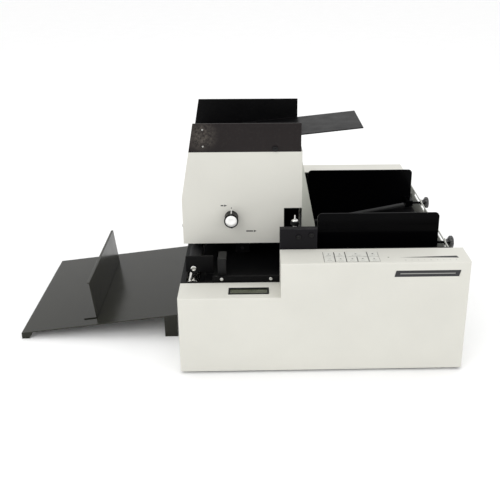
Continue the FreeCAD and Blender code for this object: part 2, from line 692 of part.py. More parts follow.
# column, row and columns wide of each key; the middle key of the back row is double
KEYS = [(0, 0, 1), (1, 0, 1), (2, 0, 1), (3, 0, 1), (4, 0, 1), (0, 1, 1), (1, 1, 1), (2, 1, 2), (4, 1, 1)]


def key_cell(column, row, wide, inset):
    left, front = f"pad_left + {column} * key_pitch", f"pad_front + {row} * row_pitch"
    return ((f"{left} + {inset}", f"{left} + {wide} * key_pitch - {inset}"),
            (f"{front} + {inset}", f"{front} + row_pitch - {inset}"))


def keypad():
    """Keypad on the right ledge: a lattice in the cover's opening and nine keys that travel down."""
    deep = "(high_ledge - 2 * sheet - gap)"
    lattice = block("lattice", ("pad_left", "pad_left + 5 * key_pitch"),
                    ("pad_front", "pad_front + 2 * row_pitch"), (deep, "high_ledge"))
    windows = []
    for i, cell in enumerate(KEYS):
        hole = key_cell(*cell, "(key_slit / 2 - key_gap)")
        windows.append(block(f"key_window_{i}", *hole, (f"{deep} - {PAST}", f"high_ledge + {PAST}")))
    node("keypad_frame", cut("keypad_frame", lattice, *windows))
    for i, cell in enumerate(KEYS, start=1):
        across, up = key_cell(*cell, "key_slit / 2")
        corners = [(across[0], up[0]), (across[1], up[0]), (across[1], up[1]), (across[0], up[1])]
        key = prism(f"key_{i}", "xy", corners, ("high_ledge - sheet", "high_ledge + key_up"))
        top = size("high_ledge + key_up")
        round_edges(key, "key_up / 2", lambda mid, way: mid.z > top - 0.01)
        node(f"key_{i}", key)
    node("status_lamp", rod("status_lamp", "z", "led_rad", ("high_ledge - 2 * sheet", "high_ledge + gap"),
                            ("led_at", "led_front")))


def head_outline(inset, low):
    """The label head's outline, pulled in by inset on every side but the bottom."""
    top = f"(head_top - {inset})"
    lean = f"({inset} / cos(slant))"
    return [(f"0 + {inset}", low), (f"head_len - {inset}", low), (f"head_len - {inset}", top),
            (f"{slant_at(top)} + {lean}", top), (f"0 + {inset}", f"slant_from + {inset} * tan(slant / 2)")]


def label_head():
    """Sheet cover of the label head, with the separator notch and the slot for the label web."""
    shell = prism("head_shell", "xz", head_outline("0", "head_low"), ("head_front", "back_at"))
    hollow = prism("head_hollow", "xz", head_outline("sheet", "head_low - 1"),
                   (HEAD_IN, "back_at - sheet"))
    notch = block("head_notch", ("notch_left", f"head_len + {PAST}"),
                  (f"head_front - {PAST}", "head_front + notch_deep"), (f"head_low - {PAST}", "notch_top"))
    web = block("web_slot", ("web_slot_at", "web_slot_at + web_slot_wide"),
                (f"head_front + 2 * {PAST}", "fence_at - 2 * sheet"),
                (f"head_top - {PAST}", f"head_top + {PAST}"))
    stem = rod("selector_hole", "y", "pin_rad + run_gap", (f"head_front - {PAST}", f"{HEAD_IN} + 1"),
               ("selector_at", "selector_high"))
    node("head_cover", cut("head_cover", shell, hollow, notch, web, stem))
    spot = ("selector_at", "selector_high")
    node("selector_knob", join(
        "selector_knob",
        rod("selector_skirt", "y", "selector_rad",
            ("head_front - selector_long / 3", "head_front - gap"), spot),
        rod("selector_grip", "y", "selector_rad - sheet",
            ("head_front - selector_long", "head_front - selector_long / 3"), spot),
        rod("selector_stem", "y", "pin_rad", ("head_front - gap", f"{HEAD_IN} + 3 * sheet"), spot)))

    left = ("notch_left - sheet", "notch_left")
    lining = join(
        "lining_fold",
        block("lining_side", left, (HEAD_IN, "head_front + notch_deep"), ("head_low", "notch_top + sheet")),
        block("lining_top", ("notch_left", "head_len - sheet"), (HEAD_IN, "head_front + notch_deep"),
              ("notch_top", "notch_top + sheet")),
        block("lining_back", (left[0], "head_len - sheet"),
              ("head_front + notch_deep", "head_front + notch_deep + sheet"),
              ("head_low", "notch_top + sheet")),
    )
    node("notch_lining", lining)


def feed_hood():
    """Hood on the head's right side: leaning outer side, and a front cut back at an angle."""
    long_side = "sqrt(hood_out * hood_out + (hood_top - head_low) * (hood_top - head_low))"
    in_foot = f"sheet * {long_side} / (hood_top - head_low)"
    in_top = f"sheet * {long_side} / hood_out"
    outer = prism("hood_outer", "xz",
                  [("head_len", "head_low"), ("head_len + hood_out", "head_low"), ("head_len", "hood_top")],
                  ("head_front", "hood_back"))
    below = "(head_low - 1)"
    out_below = f"(head_len + hood_out - {in_foot} + hood_out / (hood_top - head_low))"
    inner = prism("hood_inner", "xz",
                  [("head_len - 1", below), (out_below, below), ("head_len - 1",
                    f"hood_top - {in_top} + (hood_top - head_low) / hood_out")],
                  ("head_front", "hood_back - sheet"))
    diagonal = "sqrt(hood_out * hood_out + hood_deep * hood_deep)"
    for label, back in (("outer", "0"), ("inner", f"(sheet * {diagonal} / hood_out)")):
        front = f"head_front - {PAST} * hood_deep + {back}"
        corner = prism(f"hood_corner_{label}", "xy",
                       [(f"head_len - {PAST} * hood_out", front),
                        (f"head_len + {PAST} * hood_out", front),
                        (f"head_len + {PAST} * hood_out", f"head_front + {PAST} * hood_deep + {back}")],
                       ("0", "fence_top"))
        if label == "outer":
            outer = cut("hood_outer_cut", outer, corner)
        else:
            inner = cut("hood_inner_cut", inner, corner)
    node("feed_hood", cut("feed_hood", outer, inner))


APPLICATOR_HIGH = "(deck_top + roll_up + gap + applicator_rad)"
NIP_HIGH = "(deck_top + roll_up + gap + nip_rad)"
LABEL_NIP_HIGH = "(label_roll_high - label_roll_rad - label_nip_rad - gap)"
HEAD_PLATES = ("head_plate_front", "head_plate_back")
HEAD_PLATE_END = "(head_plate_back + plate_thick)"


def head_frame():
    """Steel inside the head: the column at the back, and two plates held on tie rods."""
    front, side = "column_front", "plate_thick"
    channel = [("column_left", front), ("column_right", front), ("column_right", "column_back"),
               (f"column_right - {side}", "column_back"), (f"column_right - {side}", f"{front} + {side}"),
               (f"column_left + {side}", f"{front} + {side}"), (f"column_left + {side}", "column_back"),
               ("column_left", "column_back")]
    node("head_column", prism("head_column", "xy", channel, (FLOOR, "head_top - sheet")))

    low, high, left = "head_plate_low", "head_plate_top", "column_left"
    lug = [("applicator_at - lug_half", low), ("applicator_at - lug_half", "lug_low"),
           ("applicator_at + lug_half", "lug_low"), ("applicator_at + lug_half", low)]
    plate = [(left, low), *lug, ("head_plate_right", low), ("head_plate_right", high), (left, high)]
    spots = [("label_roll_at", "label_roll_high", BORE),
             ("label_roll_at", LABEL_NIP_HIGH, "pin_rad + run_gap"),
             ("applicator_at", APPLICATOR_HIGH, "pin_rad + run_gap")]
    pieces = []
    for i, at in enumerate(HEAD_PLATES):
        blank = prism(f"head_plate_{i}", "xz", plate, (at, f"{at} + plate_thick"))
        bores = [rod(f"head_bore_{i}{j}", "y", radius,
                     (f"{at} - {PAST}", f"{at} + plate_thick + {PAST}"), (x, z))
                 for j, (x, z, radius) in enumerate(spots)]
        pieces.append(cut(f"head_plate_{i}_bored", blank, *bores))
    inset = "(3 * tie_rad)"
    for i, x in enumerate((f"{left} + {inset}", f"head_plate_right - {inset}")):
        for j, z in enumerate((f"{low} + {inset}", f"{high} - {inset}")):
            pieces.append(rod(f"tie_rod_{i}{j}", "y", "tie_rad", (HEAD_IN, front), (x, z)))
    node("head_frame", join("head_frame", *pieces))


def label_path():
    """Label drive: driven roller, nip roller, motor, peel bar and the applicator roller."""
    inner = ("head_plate_front + plate_thick + gap", "head_plate_back - gap")
    drive = ("label_roll_at", "label_roll_high")
    into_motor = f"({HEAD_PLATE_END} + 3 * sheet)"
    node("label_drive_roller", join(
        "label_drive_roller",
        rod("label_drive_rubber", "y", "label_roll_rad", inner, drive),
        rod("label_drive_shaft", "y", "shaft_rad", ("head_plate_front - sheet", into_motor), drive)))
    motor = rod("label_motor_can", "y", "label_motor_rad",
                (HEAD_PLATE_END, f"{HEAD_PLATE_END} + label_motor_len"), drive)
    bore = rod("label_motor_bore", "y", BORE, (f"{HEAD_PLATE_END} - {PAST}", f"{into_motor} + gap"), drive)
    node("label_feed_motor", cut("label_feed_motor", motor, bore))
    for name, radius, spot in (("label_nip_roller", "label_nip_rad", ("label_roll_at", LABEL_NIP_HIGH)),
                               ("applicator_roller", "applicator_rad", ("applicator_at", APPLICATOR_HIGH))):
        node(name, join(name, rod(f"{name}_rubber", "y", radius, inner, spot),
                        rod(f"{name}_shaft", "y", "pin_rad",
                            ("head_plate_front - sheet", f"{HEAD_PLATE_END} - gap"), spot)))
    edge = "applicator_at - lug_half"
    node("peel_bar", prism("peel_bar", "xz",
                           [(f"{edge} - 2 * tie_rad", "head_plate_low + tie_rad"), (edge, "head_plate_low"),
                            (f"{edge} - tie_rad", "head_plate_low + 3 * tie_rad")],
                           ("head_plate_front + plate_thick", "head_plate_back")))


def tray_high(x):
    """Height of the label tray's top face."""
    return f"(tray_low + ({x} - tray_from) * tan(tray_lean))"


def label_supply():
    """Black fascia, and the label tray with its saddle and rear fence, on top of the head."""
    def panel(top):
        return [(slant_at("head_top"), "head_top"), ("fascia_right", "head_top"), ("fascia_right", top),
                (slant_at(top), top)]
    thick = ("head_front", "head_front + fascia_thick")
    node("fascia", prism("fascia", "xz", panel("fascia_top"), thick))
    under = "sheet"
    plate = [("tray_from", f"{tray_high('tray_from')} - {under}"),
             ("tray_to", f"{tray_high('tray_to')} - {under}"),
             ("tray_to", tray_high("tray_to")), ("tray_from", tray_high("tray_from"))]
    saddle = [("saddle_left", "head_top"), ("saddle_right", "head_top"),
              ("saddle_right", f"{tray_high('saddle_right')} - {under}"),
              ("saddle_left", f"{tray_high('saddle_left')} - {under}")]
    third = "(fence_at - head_front - fascia_thick) / 3"
    node("label_tray", join(
        "label_tray",
        prism("tray_plate", "xz", plate, (thick[1], "fence_at")),
        prism("tray_saddle", "xz", saddle, (f"{thick[1]} + {third}", f"{thick[1]} + 2 * {third}")),
        prism("tray_fence", "xz", panel("fence_top"), ("fence_at", "fence_at + sheet"))))


SIDE_PLATE_FRONT = "(ledge_deep + bed_sheet)"


def feed_controls():
    """Feed side plate with the separator's arm, its screw and block, and the two adjusters."""
    plate = block("side_plate_blank", ("step_at", "side_plate_right"), (SIDE_PLATE_FRONT, "side_plate_back"),
                  ("deck_top", "side_plate_top"))
    half = "(separator_rad + 2 * sheet)"
    arm = block("separator_arm", (f"separator_at - {half}", f"separator_at + {half}"),
                ("side_plate_back", f"separator_front + {half}"),
                ("separator_arm_low", "separator_arm_low + separator_arm_thick"))
    spot = ("separator_at", "separator_front")
    bores = [rod("arm_bore", "z", "screw_rad + run_gap",
                 (f"separator_arm_low - {PAST}", f"separator_arm_low + separator_arm_thick + {PAST}"), spot)]
    pin_end = "(side_plate_back - 2 * sheet)"
    for side in ("left", "right"):
        hub = (f"{side}_adjuster_at", f"{side}_adjuster_high")
        bores.append(rod(f"{side}_adjuster_bore", "y", "adjuster_pin + run_gap",
                         (f"{SIDE_PLATE_FRONT} - {PAST}", f"{pin_end} + gap"), hub))
        face = f"({SIDE_PLATE_FRONT} - gap)"
        node(f"{side}_adjuster", join(
            f"{side}_adjuster",
            rod(f"{side}_adjuster_head", "y", "adjuster_rad", (f"{face} - adjuster_long", face), hub),
            rod(f"{side}_adjuster_pin", "y", "adjuster_pin", (face, pin_end), hub)))
    node("feed_side_plate", cut("feed_side_plate", join("side_plate_cast", plate, arm), *bores))

    screw_low = "(stone_low + stone_tall / 3)"
    knob_low, knob_top = "separator_knob_low", "separator_top"
    third = f"({knob_top} - {knob_low}) / 3"
    node("separator_knob", join(
        "separator_knob",
        rod("separator_screw", "z", "screw_rad", (screw_low, knob_top), spot),
        cone("separator_flare", "z", ("screw_rad + 1", "separator_rad"),
             (knob_low, f"{knob_low} + {third}"), spot),
        rod("separator_grip", "z", "separator_rad",
            (f"{knob_low} + {third}", f"{knob_low} + 2 * {third}"), spot),
        cone("separator_dome", "z", ("separator_rad", "screw_rad + 1"),
             (f"{knob_low} + 2 * {third}", f"{knob_top} - 1"), spot)))
    stone = block("stone", ("separator_at - stone_half", "separator_at + stone_half"),
                  ("separator_front - stone_deep / 2", "separator_front + stone_deep / 2"),
                  ("stone_low", "stone_low + stone_tall"))
    bore = rod("stone_bore", "z", "screw_rad + run_gap",
               (f"{screw_low} - 2 * stone_up", f"stone_low + stone_tall + {PAST}"), spot)
    node("separator_block", cut("separator_block", stone, bore))


def drive():
    """Motor under the bed, its pulley shaft, and the belts to the three driven rollers."""
    spot = ("motor_at", SHAFT_HIGH)
    into = "(frame_back_at - 5 * sheet)"
    can = rod("motor_can", "y", "motor_rad", ("frame_back_at - motor_len", "frame_back_at"), spot)
    bore = rod("motor_bore", "y", BORE, (f"{into} - gap", f"frame_back_at + {PAST}"), spot)
    node("drive_motor", cut("drive_motor", can, bore))
    node("motor_pulley", join("motor_pulley", rod("motor_shaft", "y", "shaft_rad", (into, PULLEY_TO), spot),
                              rod("motor_pulley_barrel", "y", "pulley_rad", (PULLEY_FROM, PULLEY_TO), spot)))

    def loop(name, ends, radius, span):
        left, right = ends
        flat = block(f"{name}_flat", (left, right), span,
                     (f"{SHAFT_HIGH} - {radius}", f"{SHAFT_HIGH} + {radius}"))
        rounds = [rod(f"{name}_end_{i}", "y", radius, span, (x, SHAFT_HIGH)) for i, x in enumerate(ends)]
        return join(name, flat, *rounds)

    belts = []
    for i, (ends, lane) in enumerate(((("pickup_at", "motor_at"), 0), (("feed_at", "pickup_at"), 1),
                                      (("exit_at", "feed_at"), 0))):
        front = f"({PULLEY_FROM} + {lane} * (belt_wide + belt_gap))"
        outer = loop(f"belt_{i}_outer", ends, "(pulley_rad + gap + belt_thick)",
                     (front, f"{front} + belt_wide"))
        inner = loop(f"belt_{i}_inner", ends, "(pulley_rad + gap)",
                     (f"{front} - 1", f"{front} + belt_wide + 1"))
        belts.append(cut(f"belt_{i}", outer, inner))
    node("drive_belts", group("drive_belts", *belts))


def exit_guides():
    """Front rail under the head, with the arm that holds the exit nip roller, and the label sensor."""
    post = ("rail_left - rail_foot", "rail_left")
    arm = [(post[0], "deck_top"), (post[1], "deck_top"), (post[1], "head_low"),
           ("exit_at - rail_foot", "head_low"), ("exit_at - rail_foot", "arm_low"), (post[0], "arm_low")]
    arm_back = "arm_front + plate_thick"
    spot = ("exit_at", NIP_HIGH)
    rail = join(
        "rail_solid",
        block("rail_bar", ("rail_left", "step_at"), (SIDE_PLATE_FRONT, f"{SIDE_PLATE_FRONT} + rail_thick"),
              ("deck_top", "rail_top")),
        block("rail_base", (post[0], "rail_left + rail_thick"), (SIDE_PLATE_FRONT, arm_back),
              ("deck_top", "deck_top + sheet")),
        prism("rail_arm", "xz", arm, ("arm_front", arm_back)))
    node("front_rail", cut("front_rail", rail, rod("arm_nip_bore", "y", "pin_rad + run_gap",
                                                   (f"arm_front - {PAST}", f"{arm_back} + {PAST}"), spot)))
    node("exit_nip_roller", join(
        "exit_nip_roller",
        rod("exit_nip_rubber", "y", "nip_rad", (f"{arm_back} + gap", "head_plate_front - 2 * sheet"), spot),
        rod("exit_nip_shaft", "y", "pin_rad", ("arm_front - sheet", "head_plate_front - sheet"), spot)))
    across = ("post_at", "post_at + post_len")
    node("label_sensor", join(
        "label_sensor",
        block("sensor_post", across, ("post_front", "post_front + post_deep"), ("deck_top", "post_top")),
        block("sensor_arm", across, ("post_front", "post_front + 5 * post_deep"),
              ("head_low - 3 * sheet", "head_low - sheet")),
        block("sensor_foot", (f"{across[0]} - sheet", f"{across[1]} + sheet"),
              ("post_front - sheet", "post_front + post_deep + sheet"), ("deck_top", "deck_top + sheet"))))


CLAMP_FACE = "(wall_at + gap)"
GUIDES = {
    # front face, stud, and the side of the guide that its block is on
    "front_guide": ("front_guide_at", "front_stud_at", 1),
    "rear_guide": ("rear_guide_at", "rear_stud_at", -1),
}


def side_guides():
    """The two envelope guides, each with its block and stud, and the clamp knobs outside the wall."""
    for name, (at, stud, side) in GUIDES.items():
        low = [(x, f"{bed_high(x)} + guide_lift") for x in ("guide_left", "guide_right")]
        plate = prism(f"{name}_plate", "xz",
                      [*low, ("guide_right", "guide_top"), ("guide_left", "guide_top")],
                      (at, f"{at} + guide_thick"))
        top = size("guide_top")
        round_edges(plate, "guide_round", lambda mid, way: mid.z > top - 0.01 and abs(way.y) > 0.9)
        block_left = "(guide_right - block_len)"
        foot = [(x, f"{bed_high(x)} + guide_lift") for x in (block_left, "guide_right")]
        span = ((f"{at} + guide_thick", f"{at} + guide_thick + block_deep") if side > 0
                else (f"{at} - block_deep", at))
        carrier = prism(f"{name}_block", "xz",
                        [*foot, ("guide_right", "block_top"), (block_left, "block_top")],
                        span)
        spot = (stud, "stud_high")
        bolt_end = "(clamp_out - 2 * sheet)"
        bolt = rod(f"{name}_stud", "x", "stud_rad", ("guide_right", bolt_end), spot)
        node(name, join(name, plate, carrier, bolt))
        face, neck = CLAMP_FACE, f"({CLAMP_FACE} + 2 * sheet)"
        knob = join(f"{name}_knob_solid", rod(f"{name}_knob_neck", "x", "clamp_neck", (face, neck), spot),
                    rod(f"{name}_knob_head", "x", "clamp_rad", (neck, "clamp_out"), spot))
        bore = rod(f"{name}_knob_bore", "x", "stud_rad + run_gap",
                   (f"{face} - {PAST}", f"{bolt_end} + gap"), spot)
        node(f"{name}_knob", cut(f"{name}_knob", knob, bore))


def drop_high(x):
    """Height of the drop tray's top face."""
    return f"(drop_low + ({x} + drop_left) * tan(drop_lean))"


def drop_tray():
    """Sloping drop tray with its four legs and two hooks, and the stop that slides along it."""
    def strip(name, low, high, span):
        under = "drop_sheet"
        points = [(low, f"{drop_high(low)} - {under}"), (high, f"{drop_high(high)} - {under}"),
                  (high, drop_high(high)), (low, drop_high(low))]
        return prism(name, "xz", points, span)

    left, right = "(0 - drop_left)", "(0 - drop_right)"
    pieces = [strip("drop_plate", left, right, ("drop_front", "drop_back"))]
    leg_right = "(0 - right_leg_from)"
    legs = {
        "left": [(left, "0"), (f"{left} + leg_foot", "0"),
                 (f"{left} + leg_wide", f"{drop_high(f'({left} + leg_wide)')} - drop_sheet / 2"),
                 (left, f"{drop_high(left)} - drop_sheet / 2")],
        "right": [(f"{leg_right} - right_leg_wide", "0"), (leg_right, "0"),
                  (leg_right, f"{drop_high(leg_right)} - drop_sheet / 2"),
                  (f"{leg_right} - right_leg_wide",
                   f"{drop_high(f'({leg_right} - right_leg_wide)')} - drop_sheet / 2")],
    }
    for side, points in legs.items():
        for end, span in (("front", ("drop_front", "drop_front + drop_sheet")),
                          ("back", ("drop_back - drop_sheet", "drop_back"))):
            pieces.append(prism(f"{side}_{end}_leg", "xz", points, span))
    hooks = (("drop_front + hook_in", "drop_front + hook_in + hook_wide"),
             ("drop_back - hook_in - hook_wide", "drop_back - hook_in"))
    for i, span in enumerate(hooks):
        pieces.append(strip(f"hook_{i}", right, "0", span))
    node("drop_tray", join("drop_tray", *pieces))

    foot = "(0 - stop_at)"

    def on_slope(along, up):
        return (f"{foot} + ({along}) * cos(drop_lean) - ({up}) * sin(drop_lean)",
                f"{drop_high(foot)} + ({along}) * sin(drop_lean) + ({up}) * cos(drop_lean)")

    thick, tall = "stop_sheet", "(stop_tall + gap)"
    profile = [on_slope("0 - stop_foot", "gap"), on_slope("0", "gap"), on_slope("0", tall),
               on_slope("0 - stop_lip", tall), on_slope("0 - stop_lip", f"{tall} - {thick}"),
               on_slope(f"0 - {thick}", f"{tall} - {thick}"), on_slope(f"0 - {thick}", f"gap + {thick}"),
               on_slope("0 - stop_foot", f"gap + {thick}")]
    node("tray_stop", prism("tray_stop", "xz", profile, ("stop_front", "stop_back")))


def electrics():
    """Control board, power supply, and the mains module with its socket and rocker."""
    across = ("board_left", "board_left + board_len")
    deep = ("board_front", "board_front + board_wide")
    top = "(board_high + board_thick)"
    pieces = [block("board_sheet", across, deep, ("board_high", top))]
    inset = "(2 * post_rad)"
    for i, x in enumerate((f"{across[0]} + {inset}", f"{across[1]} - {inset}")):
        for j, y in enumerate((f"{deep[0]} + {inset}", f"{deep[1]} - {inset}")):
            pieces.append(rod(f"board_post_{i}{j}", "z", "post_rad", (FLOOR, "board_high"), (x, y)))
    for i in range(3):
        low = f"board_front + board_wide * ({i} + 0.4) / 3.4"
        pieces.append(block(f"board_chip_{i}",
                            ("board_left + board_len / 3", "board_left + 2 * board_len / 3"),
                            (low, f"{low} + board_wide / 8"), (top, f"{top} + 3 * sheet")))
    node("control_board", join("control_board", *pieces))
    node("power_supply", block("power_supply", ("supply_left", "supply_left + supply_len"),
                               ("supply_front", "supply_front + supply_wide"),
                               (FLOOR, f"{FLOOR} + supply_tall")))

    face = "base_deep"
    mid = "(inlet_low + inlet_tall / 2)"
    flange = block("inlet_flange", ("inlet_at", "inlet_at + inlet_len"), (f"{face} - sheet", face),
                   ("inlet_low", "inlet_low + inlet_tall"))
    body = block("inlet_body", ("inlet_at + inlet_rim", "inlet_at + inlet_len - inlet_rim"),
                 (f"{face} - inlet_deep", f"{face} - sheet"),
                 ("inlet_low + inlet_rim", "inlet_low + inlet_tall - inlet_rim"))
    socket = block("socket", ("socket_at", "socket_at + socket_len"),
                   (f"{face} - socket_deep", f"{face} + {PAST}"),
                   (f"{mid} - socket_tall / 2", f"{mid} + socket_tall / 2"))
    well = block("rocker_well", ("rocker_at - rocker_gap / 2", "rocker_at + rocker_len + rocker_gap / 2"),
                 (f"{face} - rocker_deep - 4 * rocker_gap", f"{face} + {PAST}"),
                 (f"{mid} - rocker_tall / 2 - rocker_gap", f"{mid} + rocker_tall / 2 + rocker_gap"))
    hinge = (f"({face} - rocker_deep / 2 - rocker_gap)", mid)
    reach = "(rocker_gap + 1)"
    bore = rod("rocker_bore", "x", "rocker_pin + run_gap",
               (f"rocker_at - {reach}", f"rocker_at + rocker_len + {reach}"), hinge)
    hollow = cut("inlet_hollow", join("inlet_solid", flange, body), socket, well, bore)
    blades = []
    for i in range(3):
        x = f"(socket_at + socket_len / 2 + ({i} - 1) * blade_pitch)"
        blades.append(block(f"blade_{i}", (f"{x} - blade_thick / 2", f"{x} + blade_thick / 2"),
                            (f"{face} - socket_deep", f"{face} - socket_deep + blade_len"),
                            (f"{mid} - blade_wide / 2", f"{mid} + blade_wide / 2")))
    node("power_inlet", join("power_inlet", hollow, *blades))
    node("power_rocker", join(
        "power_rocker",
        block("rocker_cap", ("rocker_at", "rocker_at + rocker_len"),
              (f"{face} - rocker_deep - rocker_gap", f"{face} - rocker_gap"),
              (f"{mid} - rocker_tall / 2", f"{mid} + rocker_tall / 2")),
        rod("rocker_axle", "x", "rocker_pin",
            ("rocker_at - rocker_gap", "rocker_at + rocker_len + rocker_gap"), hinge)))


def screws():
    """Fascia, rail, side and wall screws, kept as one group of separate solids."""
    heads = []
    for i, z in enumerate(("fascia_top - screw_low", "head_top + screw_low")):
        heads.append(rod(f"fascia_screw_{i}", "y", "small_head", ("head_front - head_up", "head_front"),
                         ("fascia_screw_at", z)))
    heads.append(rod("fascia_thumb", "y", "thumb_rad", ("head_front - thumb_long", "head_front"),
                     ("thumb_at", "head_top + thumb_rad + 1")))
    for i, x in enumerate(("rail_left + rail_screw_in", "step_at - rail_screw_in")):
        heads.append(rod(f"rail_screw_{i}", "y", "screw_head",
                         (f"{SIDE_PLATE_FRONT} - head_up", SIDE_PLATE_FRONT),
                         (x, "(deck_top + rail_top) / 2")))
    heads.append(rod("side_screw", "x", "screw_head", ("0 - 2 * head_up", "0"),
                     ("head_front + rail_screw_in", "side_screw_high")))
    for i, y in enumerate(("ledge_deep + rail_screw_in", "back_at - rail_screw_in")):
        for j, z in enumerate(("wall_screw_low", "wall_screw_high")):
            heads.append(rod(f"wall_screw_{i}{j}", "x", "screw_head",
                             ("wall_at", "wall_at + head_up"), (y, z)))
    node("screws", group("screws", *heads))


def check_and_write():
    """Stop if anything failed; then write each sub-part to its own STEP file."""
    doc.recompute()
    failed = [obj.Name for obj in doc.Objects if {"Invalid", "Error"} & set(obj.State)]
    if failed:
        raise RuntimeError("failed objects: " + ", ".join(failed))
    for obj in NODES:
        shape = obj.Shape
        if shape.isNull() or not shape.isValid() or not shape.Solids:
            raise RuntimeError("bad shape: " + obj.Label)
    os.makedirs("parts", exist_ok=True)
    for obj in NODES:
        obj.Shape.exportStep("parts/%s.step" % obj.Label)
    print(len(NODES), "sub-parts written")


chassis()
front_cover()
rear_cover()
frame_plates()
rollers()
decks()
display()
keypad()
label_head()
feed_hood()
head_frame()
label_path()
label_supply()
feed_controls()
drive()
exit_guides()
side_guides()
drop_tray()
electrics()
screws()
check_and_write()
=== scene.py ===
import json
import math

import bmesh
import bpy
from mathutils import Matrix, Vector

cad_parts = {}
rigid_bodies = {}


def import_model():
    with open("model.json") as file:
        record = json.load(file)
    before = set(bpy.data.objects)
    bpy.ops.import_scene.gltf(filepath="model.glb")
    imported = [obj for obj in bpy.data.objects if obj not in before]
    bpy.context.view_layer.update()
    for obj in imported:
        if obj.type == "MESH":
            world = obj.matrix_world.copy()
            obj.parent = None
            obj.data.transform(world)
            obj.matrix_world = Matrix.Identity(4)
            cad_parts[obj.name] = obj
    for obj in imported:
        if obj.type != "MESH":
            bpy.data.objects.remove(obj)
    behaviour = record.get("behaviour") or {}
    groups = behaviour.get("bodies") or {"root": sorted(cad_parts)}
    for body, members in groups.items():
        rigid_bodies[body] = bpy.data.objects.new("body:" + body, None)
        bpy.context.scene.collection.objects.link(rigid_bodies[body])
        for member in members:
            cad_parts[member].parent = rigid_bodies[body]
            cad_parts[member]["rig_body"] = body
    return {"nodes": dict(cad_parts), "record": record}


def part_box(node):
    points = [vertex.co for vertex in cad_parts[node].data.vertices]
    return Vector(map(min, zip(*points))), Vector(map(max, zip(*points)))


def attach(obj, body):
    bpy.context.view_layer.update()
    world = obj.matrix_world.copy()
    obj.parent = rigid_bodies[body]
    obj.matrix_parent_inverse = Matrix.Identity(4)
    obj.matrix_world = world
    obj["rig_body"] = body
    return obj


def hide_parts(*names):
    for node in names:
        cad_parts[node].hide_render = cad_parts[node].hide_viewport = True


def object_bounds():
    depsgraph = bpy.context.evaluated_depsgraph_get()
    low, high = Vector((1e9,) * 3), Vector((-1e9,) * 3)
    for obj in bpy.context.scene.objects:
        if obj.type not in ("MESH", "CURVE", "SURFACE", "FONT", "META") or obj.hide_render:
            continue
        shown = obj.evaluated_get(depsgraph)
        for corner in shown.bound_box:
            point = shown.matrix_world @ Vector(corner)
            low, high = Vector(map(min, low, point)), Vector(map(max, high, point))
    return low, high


# Desktop mail labelling machine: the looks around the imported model. Everything is in metres in the
# model's own frame: +X to the hopper end, +Y to the back, +Z up, the keypad side facing -Y.

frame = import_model()
CAD_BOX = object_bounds()
MM = 0.001
SLOT_OF = {part["node"]: part["material_slot"] for part in frame["record"]["subparts"]}
BODY_OF = {node: obj["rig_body"] for node, obj in frame["nodes"].items()}

COVER_EDGE = 0.7 * MM       # outside radius on the big painted covers
PLATE_EDGE = 0.45 * MM      # on folded plates
GUIDE_EDGE = 0.8 * MM       # on the side guides
SMALL_EDGE = 0.4 * MM       # on rollers and small mouldings
STUD_LENGTH = 29 * MM       # bright stud beyond a side guide's plate
DRIVE_SHAFT = 5 * MM        # inside this radius a roller's faces are its shaft
LABEL_SHAFT = 3.6 * MM      # the same for the thinner rollers
SEPARATOR_TALL = 29 * MM    # separator knob above its bare thread
THREAD_PITCH = 1.2 * MM
THREAD_RADIUS = 2.3 * MM
ON_SURFACE = 0.01 * MM      # how far a printed mark reaches under its surface


# ---------------------------------------------------------------- materials

def linear(rgb):
    """An sRGB colour of 0 to 255 as the linear colour that a shader takes."""
    out = []
    for value in rgb:
        v = value / 255
        out.append(v / 12.92 if v <= 0.04045 else ((v + 0.055) / 1.055) ** 2.4)
    return (*out, 1.0)


def scaled(rgb, factor):
    return tuple(min(255, value * factor) for value in rgb)


